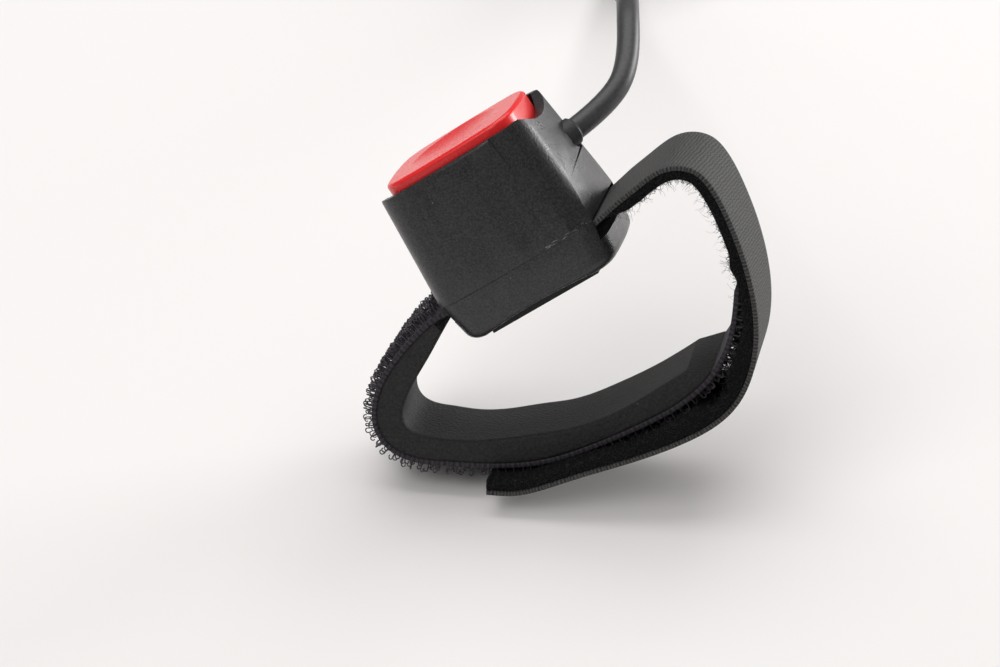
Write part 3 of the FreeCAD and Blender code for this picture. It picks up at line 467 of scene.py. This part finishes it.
# a cubic spline with free ends through the points, sampled evenly by its length
def splineLine(points, step=0.25):
    p = np.asarray(points, float)
    t = np.concatenate([[0], np.cumsum(np.linalg.norm(np.diff(p, axis=0), axis=1))])
    h = np.diff(t)
    n = len(p)
    system, right = np.zeros((n, n)), np.zeros((n, 2))
    system[0, 0] = system[-1, -1] = 1
    for k in range(1, n - 1):
        system[k, k - 1:k + 2] = h[k - 1], 2 * (h[k - 1] + h[k]), h[k]
        right[k] = 6 * ((p[k + 1] - p[k]) / h[k] - (p[k] - p[k - 1]) / h[k - 1])
    bend = np.linalg.solve(system, right)
    ts = np.linspace(0, t[-1], 4000)
    k = np.clip(np.searchsorted(t, ts, side="right") - 1, 0, n - 2)
    a, b, hk = (t[k + 1] - ts)[:, None], (ts - t[k])[:, None], h[k][:, None]
    dense = (bend[k] * a ** 3 + bend[k + 1] * b ** 3) / (6 * hk) + (
        (p[k] / hk - bend[k] * hk / 6) * a + (p[k + 1] / hk - bend[k + 1] * hk / 6) * b)
    s = np.concatenate([[0], np.cumsum(np.linalg.norm(np.diff(dense, axis=0), axis=1))])
    even = np.linspace(0, s[-1], max(2, int(s[-1] / step)))
    line = np.stack([np.interp(even, s, dense[:, i]) for i in (0, 1)], axis=1)
    heading = np.gradient(line, even, axis=0)
    heading /= np.linalg.norm(heading, axis=1)[:, None]
    marks = np.array([s[np.argmin(np.linalg.norm(dense - q, axis=1))] for q in p])
    return {"s": even, "line": line, "normal": np.stack([-heading[:, 1], heading[:, 0]], axis=1),
            "marks": marks, "length": even[-1]}


def smoothStep(x, low, high):
    t = np.clip((np.asarray(x, float) - low) / (high - low), 0, 1)
    return t * t * (3 - 2 * t)


# the point at a distance along a line, moved by an offset along its normal, at width y
def along(way, distance, offset, y):
    x, z = (np.interp(distance, way["s"], way["line"][:, i])
            + np.interp(distance, way["s"], way["normal"][:, i]) * offset for i in (0, 1))
    return np.stack([x, np.broadcast_to(y, x.shape), z], axis=-1)


def joinInto(target, others):
    for other in bpy.context.selected_objects:
        other.select_set(False)
    for other in others + [target]:
        other.select_set(True)
    bpy.context.view_layer.objects.active = target
    bpy.ops.object.join()
    bpy.ops.object.mode_set(mode="EDIT")
    bpy.ops.mesh.select_all(action="SELECT")
    bpy.ops.mesh.remove_doubles(threshold=1e-6)
    bpy.ops.mesh.normals_make_consistent(inside=False)
    bpy.ops.object.mode_set(mode="OBJECT")
    return target


def loosePiece(name, verts, faces):
    mesh = bpy.data.meshes.new(name)
    mesh.from_pydata(verts.tolist(), [], faces)
    piece = bpy.data.objects.new(name, mesh)
    bpy.context.collection.objects.link(piece)
    return piece


# a band along a line: a rectangle from top to foot along the normal and half to each side,
# its corners quarter circles, carried along the line and closed at both ends
def sectionBand(name, way, pick, top, foot, half, slide=0.0, edge=0.25, sides=10):
    s, line, normal = way["s"][pick], way["line"][pick], way["normal"][pick]
    n = len(s)
    top, foot, slide, half = (np.broadcast_to(np.asarray(v, float), (n,))
                              for v in (top, foot, slide, half))
    middle, reach = (top + foot) / 2, (top - foot) / 2
    edge = np.minimum(edge, reach * 0.95)
    rows = []
    for cx, cy, start in ((1, 1, 0), (-1, 1, 90), (-1, -1, 180), (1, -1, 270)):
        for k in range(4):
            angle = math.radians(start + 30 * k)
            rows.append((cx * (half - edge) + edge * math.cos(angle),
                         cy * (reach - edge) + edge * math.sin(angle)))
        if cx == cy:
            rows += [(cx * (1 - 2 * k / sides) * (half - edge), cy * reach)
                     for k in range(1, sides)]
    verts, uv = np.zeros((n, len(rows), 3)), np.zeros((n, len(rows), 2))
    for j, (y, h) in enumerate(rows):
        at = line + normal * (middle + h)[:, None]
        verts[:, j] = np.stack([at[:, 0], y + slide, at[:, 1]], axis=1)
        uv[:, j] = np.stack([s, y], axis=1)
    m = len(rows)
    i, j = np.meshgrid(np.arange(n - 1), np.arange(m), indexing="ij")
    a, b = i * m + j, i * m + (j + 1) % m
    faces = np.stack([a, b, b + m, a + m], axis=-1).reshape(-1, 4)
    flat = toWorld(verts.reshape(-1, 3))
    piece = meshFrom(name, flat, faces, uv.reshape(-1, 2))
    caps = [(row * m, row * m + q, row * m + q + 1) for row in (0, n - 1) for q in range(1, m - 1)]
    return joinInto(piece, [loosePiece(name + "Ends", flat, caps)])


# thin tubes along paths, an array (count, points, 3) in millimetres of the ring
def threads(name, paths, radius, sides=3, taper=0.5):
    count, steps, _ = paths.shape
    heading = np.gradient(paths, axis=1)
    heading /= np.linalg.norm(heading, axis=2)[..., None] + 1e-12
    helper = np.broadcast_to(np.array([0.31, 0.83, 0.47]), heading.shape)
    one = np.cross(heading, helper)
    one /= np.linalg.norm(one, axis=2)[..., None] + 1e-12
    two = np.cross(heading, one)
    width = np.linspace(1, taper, steps)[None, :, None] * np.asarray(radius).reshape(-1, 1, 1)
    turns = 2 * math.pi * np.arange(sides) / sides
    verts = np.stack([paths + (one * math.cos(q) + two * math.sin(q)) * width for q in turns],
                     axis=2)
    base = (np.arange(count) * steps * sides)[:, None, None]
    i, k = np.meshgrid(np.arange(steps - 1), np.arange(sides), indexing="ij")
    a = (i * sides + k)[None] + base
    b = (i * sides + (k + 1) % sides)[None] + base
    faces = np.stack([a, b, b + sides, a + sides], axis=-1).reshape(-1, 4)
    return meshFrom(name, toWorld(verts.reshape(-1, 3)), faces)


# strap
hookWay = splineLine([
    ringPoint(6.0, -2.9), ringPoint(-4.0, -2.9), ringPoint(-11.0, -2.5), ringPoint(-17.2, -1.35),
    (-16.4, -13.5), (-20.5, -18.6), (-23.6, -23.8), (-24.9, -28.5), (-24.6, -32.6),
    (-22.2, -36.0), (-18.3, -37.7), (-12.0, -38.0), (-6.0, -37.8), (0.5, -37.1), (7.2, -35.3),
    (12.1, -33.1), (17.1, -30.5), (21.9, -27.7), (26.8, -24.5), (31.5, -20.2), (34.8, -15.1),
    (36.5, -9.5), (37.1, -2.2)])
loopWay = splineLine([
    ringPoint(-6.0, -1.4), ringPoint(5.0, -1.4), ringPoint(11.5, -1.0), ringPoint(16.6, -0.3),
    (16.3, 11.7), (19.0, 14.2), (21.4, 16.4), (24.0, 18.2), (27.1, 18.9), (30.0, 18.2),
    (32.6, 15.7), (35.5, 10.6), (37.7, 5.5), (39.7, -0.6), (40.8, -6.0), (41.1, -11.0),
    (40.4, -16.3), (38.6, -21.0), (35.6, -24.8), (31.2, -28.0), (25.0, -31.2), (18.3, -34.0),
    (11.5, -36.7), (6.5, -38.9), (0.9, -40.8), (-4.2, -41.1)])
strapHalf = 9.5
slotPoint, coveredFrom, coveredTo = 3, 12, 22        # points of the hook line

hookTapeLook = {"half": 0.45, "pitch": 0.9, "beads": 0.7, "slant": 0.1, "deep": 0.0001,
                "dark": (0.008, 0.007, 0.009, 1), "light": (0.050, 0.042, 0.052, 1), "sheen": 0.05}
tape = sectionBand("hookTape", hookWay, slice(None), hookTapeLook["half"], -hookTapeLook["half"],
                   strapHalf)
paint(tape, tapeMaterial("hookWeave", hookTapeLook))
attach(tape, "housing")
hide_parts("hook_tape")

# a hook is a straight stem, then a crook of more than half a turn; heights in millimetres
# from the tape's middle
hookSizes = {"pitch": 1.5, "across": 0.92, "stem": 1.15, "crook": 0.34, "radius": 0.135,
             "knee": 0.55, "crookTurn": (180, 135, 90, 45, 0, -35), "crookTall": 1.1,
             "foot": 0.40, "pressed": 0.80, "stub": 0.14, "stubCurl": 0.15, "lean": 0.07,
             "growBefore": 1.5, "growAfter": 0.5, "fadeFrom": 5.0, "fadeTo": 2.0,
             "looseAlong": 0.10, "looseAcross": 0.06, "looseTall": 0.05, "twist": 0.3,
             "start": 1.2, "endGap": 0.6, "nearGap": 0.25, "farGap": 0.2, "sideGap": 0.15,
             "grain": 0.9, "rough": 0.32,
             "dark": (0.010, 0.008, 0.011, 1), "light": (0.055, 0.046, 0.058, 1)}


def hooks():
    size = hookSizes
    rows = np.arange(hookWay["marks"][slotPoint] + size["start"],
                     hookWay["length"] - size["endGap"], size["pitch"])
    cols = np.arange(-strapHalf + size["nearGap"], strapHalf - size["farGap"], size["across"])
    d, y = np.meshgrid(rows, cols, indexing="ij")
    d = (d + draw.normal(0, size["looseAlong"], d.shape)).ravel()
    y = np.clip((y + draw.normal(0, size["looseAcross"], y.shape)).ravel(),
                size["sideGap"] - strapHalf, strapHalf - size["sideGap"])
    # the share of pressing: it grows where the loop tape begins and fades before its far end
    near, far = hookWay["marks"][coveredFrom], hookWay["marks"][coveredTo]
    covered = smoothStep(d, near - size["growBefore"], near + size["growAfter"]) * (
        1 - smoothStep(d, far - size["fadeFrom"], far - size["fadeTo"]))
    tall = (1 + draw.normal(0, size["looseTall"], d.shape)) * (1 - (1 - size["pressed"]) * covered)
    side = np.where(draw.random(d.shape) < 0.5, -1.0, 1.0)
    curl = np.where(draw.random(d.shape) < size["stub"], size["stubCurl"], 1.0)
    lean = draw.normal(0, size["lean"], d.shape)
    twist = draw.normal(0, size["twist"], d.shape)
    turn = np.radians(size["crookTurn"])
    over = np.concatenate([[0, 0], size["crook"] * (1 + np.cos(turn))])
    up = np.concatenate([[0, size["knee"] * size["stem"]],
                         size["stem"] + size["crookTall"] * size["crook"] * np.sin(turn)])
    paths = np.zeros((len(d), len(up), 3))
    for k in range(len(up)):
        shift = side * over[k] * curl * np.cos(twist) + lean * up[k]
        swing = side * over[k] * curl * np.sin(twist) + lean * up[k] * 0.4
        paths[:, k] = along(hookWay, d + shift, -(size["foot"] + tall * up[k]), y + swing)
    piece = threads("hookRows", paths, np.full(len(d), size["radius"]), sides=4, taper=0.85)
    mat, tree, bsdf = newMaterial("hookNylon")
    grain = place(tree, grainGroup, Scale=size["grain"], Dark=size["dark"], Light=size["light"])
    tree.links.new(grain.outputs["Color"], bsdf.inputs["Base Color"])
    bsdf.inputs["Roughness"].default_value = size["rough"]
    paint(piece, mat)
    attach(piece, "housing")


hooks()
print("hooks done")

loopTapeLook = {"thick": 0.85, "pitch": 0.6, "beads": 0.42, "slant": -0.12, "deep": 0.00016,
                "dark": (0.007, 0.007, 0.0075, 1), "light": (0.085, 0.083, 0.080, 1),
                "sheen": 0.06}
pileSizes = {"thick": 2.9, "rise": 4.4, "fuzz": 0.38, "reachOver": 0.75, "thickest": 4.4,
             "bare": 0.9, "underFrom": 0.45, "closeTo": 6.0,
             "drift": -4.5, "driftFrom": 0.38, "driftTo": 0.92}

share = loopWay["s"] / loopWay["length"]
drift = pileSizes["drift"] * smoothStep(share, pileSizes["driftFrom"], pileSizes["driftTo"])
backing = sectionBand("loopBacking", loopWay, slice(None), 0.0, -loopTapeLook["thick"], strapHalf,
                      slide=drift)
paint(backing, tapeMaterial("loopTwill", loopTapeLook))
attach(backing, "housing")
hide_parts("loop_tape")

# the pile grows from the slot on, and fills the room up to the hooks where the tapes close
between = loopWay["line"][:, None] - hookWay["line"][None]
room = np.sqrt((between ** 2).sum(axis=2)).min(axis=1)
isUnder = share > pileSizes["underFrom"]
filled = np.clip(room - hookTapeLook["half"] - pileSizes["reachOver"], 0, pileSizes["thickest"])
grown = pileSizes["bare"] + (pileSizes["thick"] - pileSizes["bare"]) * smoothStep(
    loopWay["s"], loopWay["marks"][slotPoint], loopWay["marks"][slotPoint] + pileSizes["rise"])
thick = np.where(isUnder & (room < pileSizes["closeTo"]), np.maximum(grown, filled), grown)
evenOver = 10                                        # samples to each side
kernel = np.hanning(2 * evenOver + 1)
thick = np.convolve(np.pad(thick, evenOver, mode="edge"), kernel / kernel.sum(), mode="valid")

pileLook = {"count": 5000, "endCount": 140, "start": 1.0, "endGap": 0.2, "endAt": 0.15,
            "half": 9.3, "edgeHalf": 9.25, "widest": 9.4, "past": 0.25,
            "edgeShare": 0.46, "nearShare": 0.62, "reach": (0.35, 1.05), "rise": (0.2, 0.75),
            "radius": (0.028, 0.05), "edgeBulge": 0.5, "sideTop": 0.85, "sideRoom": 1.2,
            "steps": 5, "taper": 0.8, "colour": (0.010, 0.010, 0.011)}
strayLook = {"count": 230, "start": 1.5, "endGap": 1.0, "crowding": 1.4, "nearShare": 0.6,
             "nearEdge": 9.3, "half": 9, "reach": (0.8, 2.6), "curl": (0.15, 0.6), "slant": 0.7,
             "turns": 5.0, "radius": (0.018, 0.032), "steps": 11, "taper": 0.6,
             "colour": (0.025, 0.024, 0.025)}


# a brushed loop is an arc: it leaves the pile, rises by half a sine and comes back;
# those on the two edges bulge sideways, the others towards the hooks
def pile():
    look = pileLook
    n, half, length = look["count"], look["half"], loopWay["length"]
    start = loopWay["marks"][slotPoint] + look["start"]
    d = start + draw.random(n) * (length - start - look["endGap"])
    d[:look["endCount"]] = length - look["endAt"]
    y = draw.uniform(-half, half, n)
    deep, slide = np.interp(d, loopWay["s"], thick), np.interp(d, loopWay["s"], drift)
    turn, reach = draw.uniform(0, 2 * math.pi, n), draw.uniform(*look["reach"], n)
    rise = draw.uniform(*look["rise"], n)
    onEdge = draw.random(n) < look["edgeShare"]
    edge = np.where(draw.random(n) < look["nearShare"], -look["edgeHalf"], look["edgeHalf"])
    level = draw.uniform(0.9, 1.0, n) * look["sideTop"] + draw.random(n) * np.maximum(
        deep - look["sideRoom"], 0.1)
    paths = np.zeros((n, look["steps"], 3))
    for k, f in enumerate(np.linspace(0, 1, look["steps"])):
        swing, lift = (f - 0.5) * reach, rise * math.sin(math.pi * f)
        inward = np.where(onEdge, level + np.sin(turn) * swing, deep - look["radius"][1]
                          - pileSizes["fuzz"] + lift)
        wide = np.where(onEdge, edge + np.sign(edge) * lift * look["edgeBulge"],
                        np.clip(y + np.sin(turn) * swing, -look["widest"], look["widest"]))
        paths[:, k] = along(loopWay, np.minimum(d + np.cos(turn) * swing, length + look["past"]),
                            -inward, wide + slide)
    piece = threads("loopPile", paths, draw.uniform(*look["radius"], n), sides=3,
                    taper=look["taper"])
    paint(piece, plainMaterial("pileYarn", look["colour"], 0.75, 1.2, spread=0.6, spec=0.2,
                               sheen=0.08))
    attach(piece, "housing")


# a stray fibre runs straight out of the pile and winds round that line as it goes
def strays():
    look = strayLook
    n, steps, length = look["count"], look["steps"], loopWay["length"]
    start = loopWay["marks"][slotPoint] + look["start"]
    d = start + draw.random(n) ** look["crowding"] * (length - start - look["endGap"])
    y = np.where(draw.random(n) < look["nearShare"], -look["nearEdge"],
                 draw.uniform(-look["half"], look["half"], n))
    deep, slide = np.interp(d, loopWay["s"], thick), np.interp(d, loopWay["s"], drift)
    reach = draw.uniform(*look["reach"], n)
    curl, phase = draw.uniform(*look["curl"], n), draw.uniform(0, 2 * math.pi, n)
    slant = draw.normal(0, look["slant"], n)
    paths = np.zeros((n, steps, 3))
    for k, f in enumerate(np.linspace(0, 1, steps)):
        go = reach * f
        turn = phase + f * look["turns"]
        paths[:, k] = along(loopWay, d + slant * go * 0.5 + curl * np.cos(turn),
                            -(deep - 0.5 + go * 0.8 + curl * (np.sin(turn) - np.sin(phase)) * 0.5),
                            y + slide - 0.15 * go + curl * 0.4 * np.sin(turn))
    piece = threads("strayFibres", paths, draw.uniform(*look["radius"], n), sides=3,
                    taper=look["taper"])
    paint(piece, plainMaterial("strayYarn", look["colour"], 0.5, 1.2, spread=0.5))
    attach(piece, "housing")


pile()
strays()
# the dense body of the pile, under its loops
feltLook = {"start": 0.8, "top": -0.8, "inset": 0.25, "edge": 0.35,
            "colour": (0.006, 0.006, 0.0065), "rough": 0.9, "grain": 3.0, "deep": 0.0003}
grownPart = loopWay["s"] > loopWay["marks"][slotPoint] + feltLook["start"]
felt = sectionBand("loopFelt", loopWay, grownPart, feltLook["top"],
                   -(thick[grownPart] - pileSizes["fuzz"]), strapHalf - feltLook["inset"],
                   slide=drift[grownPart], edge=feltLook["edge"])
paint(felt, plainMaterial("pileFelt", feltLook["colour"], feltLook["rough"],
                          feltLook["grain"], feltLook["deep"], spread=0.5, spec=0.15))
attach(felt, "housing")
print("loop tape done")

foamNear = [(-12.9, -13.6), (-14.2, -16.4), (-16.0, -19.9), (-18.1, -23.8), (-19.6, -27.5),
            (-19.9, -30.2), (-18.9, -32.1), (-16.9, -33.1), (-13.9, -33.5), (-10.3, -33.6),
            (-3.0, -32.7), (2.5, -31.4), (7.0, -30.3), (15.4, -27.0), (22.5, -22.2),
            (29.2, -17.0)]
foamFar = [(-12.9, -13.6), (-14.6, -16.4), (-17.0, -20.0), (-19.3, -24.0), (-21.2, -28.0),
           (-21.6, -31.2), (-20.5, -33.4), (-18.0, -34.6), (-15.0, -34.9), (-11.0, -35.2),
           (-4.0, -34.4), (1.5, -33.0), (6.5, -31.8), (14.6, -28.0), (21.6, -23.8),
           (28.4, -18.8)]
foamSizes = {"half": 9.3, "start": 1.5, "stop": 15.5, "glue": 0.5, "edge": 0.35, "steps": 260,
             "across": 28, "deep": 9}


# rings of points round the foam: inner face, far side, outer face, near side
def foam():
    size = foamSizes
    half, edge, steps, across, deep = (size[key] for key in ("half", "edge", "steps", "across",
                                                             "deep"))
    begin, end = hookWay["marks"][slotPoint] + size["start"], hookWay["length"] - size["stop"]
    outer = along(hookWay, np.linspace(begin, end, steps), size["glue"], 0.0)
    faces = []
    for points in (foamNear, foamFar):
        way = splineLine(points)
        pick = np.linspace(0, way["length"], steps)
        faces.append(np.stack([np.interp(pick, way["s"], way["line"][:, 0]), np.zeros(steps),
                               np.interp(pick, way["s"], way["line"][:, 1])], axis=1))
    ring = []
    for k in range(across + 1):
        f = k / across
        past = max(0.0, abs(2 * f - 1) * half - (half - edge))
        bend = edge * (1 - math.sqrt(max(0.0, 1 - (past / edge) ** 2)))
        at = faces[0] * (1 - f) + faces[1] * f
        at = at + (outer - at) / np.linalg.norm(outer - at, axis=1)[:, None] * bend
        at[:, 1] = -half + 2 * half * f
        ring.append(at)
    for k in range(1, deep):
        at = faces[1] * (1 - k / deep) + outer * k / deep
        at[:, 1] = half
        ring.append(at)
    for k in range(across + 1):
        at = outer.copy()
        at[:, 1] = half - 2 * half * k / across
        ring.append(at)
    for k in range(1, deep):
        at = outer * (1 - k / deep) + faces[0] * k / deep
        at[:, 1] = -half
        ring.append(at)
    verts = np.stack(ring, axis=1)
    m = verts.shape[1]
    i, j = np.meshgrid(np.arange(steps - 1), np.arange(m), indexing="ij")
    a, b = i * m + j, i * m + (j + 1) % m
    flat = toWorld(verts.reshape(-1, 3))
    piece = meshFrom("foamLining", flat, np.stack([a, b, b + m, a + m], axis=-1).reshape(-1, 4))
    ends = []
    for row in (0, steps - 1):
        inner = [row * m + q for q in range(across + 1)]
        back = [row * m + across + deep + q for q in range(across + 1)][::-1]
        ends += [(inner[q], inner[q + 1], back[q + 1], back[q]) for q in range(across)]
    joinInto(piece, [loosePiece("foamEnds", flat, ends)])
    paint(piece, foamMaterial())
    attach(piece, "housing")
    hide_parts("foam_lining")


foam()
print("foam done")

# cord: out of the relief, back behind the switch, six and a half turns, then the plug
cordRoom = [(-0.00028, 0.01473, 0.05792), (0.00465, 0.02036, 0.0602),
            (0.00705, 0.0277, 0.06358), (0.00413, 0.04433, 0.06908), (-0.00129, 0.07552, 0.04993),
            (-0.00848, 0.11552, 0.03173), (-0.01798, 0.14952, 0.0173),
            (-0.02298, 0.17752, 0.0066), (-0.02298, 0.20252, 0.00475)]
cordTail = [(0.01902, 0.21302, 0.00475), (0.01902, 0.20082, 0.0079),
            (0.00672, 0.18852, 0.01085), (-0.01068, 0.18852, 0.0116),
            (-0.02298, 0.20082, 0.0126), (-0.01888, 0.21632, 0.0128)]
coil = {"side": 0.005, "back": 0.206, "height": 0.00475, "radius": 0.021, "perTurn": 14,
        "turns": 6.5,
        "layers": [(0, 0), (-4.0, -2.0), (0, -2.0), (4.0, -2.0), (4.0, 2.0), (0, 2.0), (-4.0, 2.0),
                   (0, 0)]}
cordLook = {"colour": (0.040, 0.040, 0.042), "rough": 0.45, "length": 1.13, "radius": 0.002}


# the turns go clockwise from the left and move from layer to layer as they go round; the
# last one is half a turn, so it moves twice as fast
def coilPoints():
    points = []
    for k in range(1, int(coil["turns"] * coil["perTurn"])):
        turn, part = divmod(k / coil["perTurn"], 1)
        if turn == 6:
            part *= 2
        (r0, z0), (r1, z1) = coil["layers"][int(turn)], coil["layers"][int(turn) + 1]
        radius = coil["radius"] + (r0 + (r1 - r0) * part) * mm
        angle = math.pi - 2 * math.pi * k / coil["perTurn"]
        points.append((seam[0] + coil["side"] + radius * math.cos(angle),
                       seam[1] + coil["back"] + radius * math.sin(angle),
                       coil["height"] + (z0 + (z1 - z0) * part) * mm))
    return points


route = cordRoom + coilPoints() + cordTail
curve = bpy.data.curves.new("cordLine", "CURVE")
curve.dimensions = "3D"
spline = curve.splines.new("NURBS")
spline.points.add(len(route) - 1)
for point, at in zip(spline.points, route):
    point.co = (*at, 1.0)
spline.order_u = 3
spline.use_endpoint_u = True
curve.resolution_u = 8
curve.bevel_depth = cordLook["radius"]
curve.bevel_resolution = 6
curve.use_fill_caps = True
cordPiece = bpy.data.objects.new("cordLine", curve)
bpy.context.collection.objects.link(cordPiece)
curve.materials.append(plainMaterial("cordJacket", cordLook["colour"], cordLook["rough"], 1.6,
                                     0.00003))
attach(cordPiece, "housing")
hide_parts("cord", "cord_coil", "cord_tail")
print("cord done")

# floor, lights, camera
floorLook = {"colour": (0.90, 0.875, 0.865, 1), "rough": 0.85, "below": 0.0002}
floor = loosePiece("floor", np.array([(-4, -3, 0), (4, -3, 0), (4, 6, 0), (-4, 6, 0)], float),
                   [(0, 1, 2, 3)])
floor.location.z = -floorLook["below"]
mat, tree, bsdf = newMaterial("floorPaper")
bsdf.inputs["Base Color"].default_value = floorLook["colour"]
bsdf.inputs["Roughness"].default_value = floorLook["rough"]
paint(floor, mat)

lamps = {"overheadBack": {"at": (-0.10, 0.32, 0.90), "size": (1.05, 0.85), "power": 6.6},
         "overheadFront": {"at": (-0.35, -0.55, 0.80), "size": (0.8, 0.6), "power": 3.4},
         "rightBack": {"at": (0.78, 0.66, 0.18), "size": (0.60, 0.30), "power": 7.5}}
aimHeight = 0.03
for name, lamp in lamps.items():
    data = bpy.data.lights.new(name, "AREA")
    data.shape = "RECTANGLE"
    data.size, data.size_y = lamp["size"]
    data.energy = lamp["power"]
    piece = bpy.data.objects.new(name, data)
    piece.location = lamp["at"]
    aim = Vector((0, 0, aimHeight)) - piece.location
    piece.rotation_euler = aim.to_track_quat("-Z", "Y").to_euler()
    bpy.context.collection.objects.link(piece)
world = bpy.data.worlds.new("studio")
bpy.context.scene.world = world
world.use_nodes = True
worldLook = {"Color": (1, 0.985, 0.975, 1), "Strength": 0.22}
for key, value in worldLook.items():
    world.node_tree.nodes["Background"].inputs[key].default_value = value

cameraLook = {"lens": 2780 / 1000 * 36.0, "from": (0.08558, -0.39237, 0.25008),
              "right": (0.9792, 0.1984, -0.0422), "up": (-0.076, 0.5516, 0.8307),
              "back": (0.188, -0.8102, 0.5552)}
camData = bpy.data.cameras.new("camera")
camData.sensor_width = 36.0
camData.lens = cameraLook["lens"]
camData.clip_start = 0.01
camera = bpy.data.objects.new("camera", camData)
bpy.context.collection.objects.link(camera)
turn = Matrix([cameraLook[key] for key in ("right", "up", "back")]).transposed().to_4x4()
turn.translation = Vector(seam) + Vector(cameraLook["from"])
camera.matrix_world = turn
scene = bpy.context.scene
scene.camera = camera
scene.view_settings.view_transform = "Standard"
print("stage done")
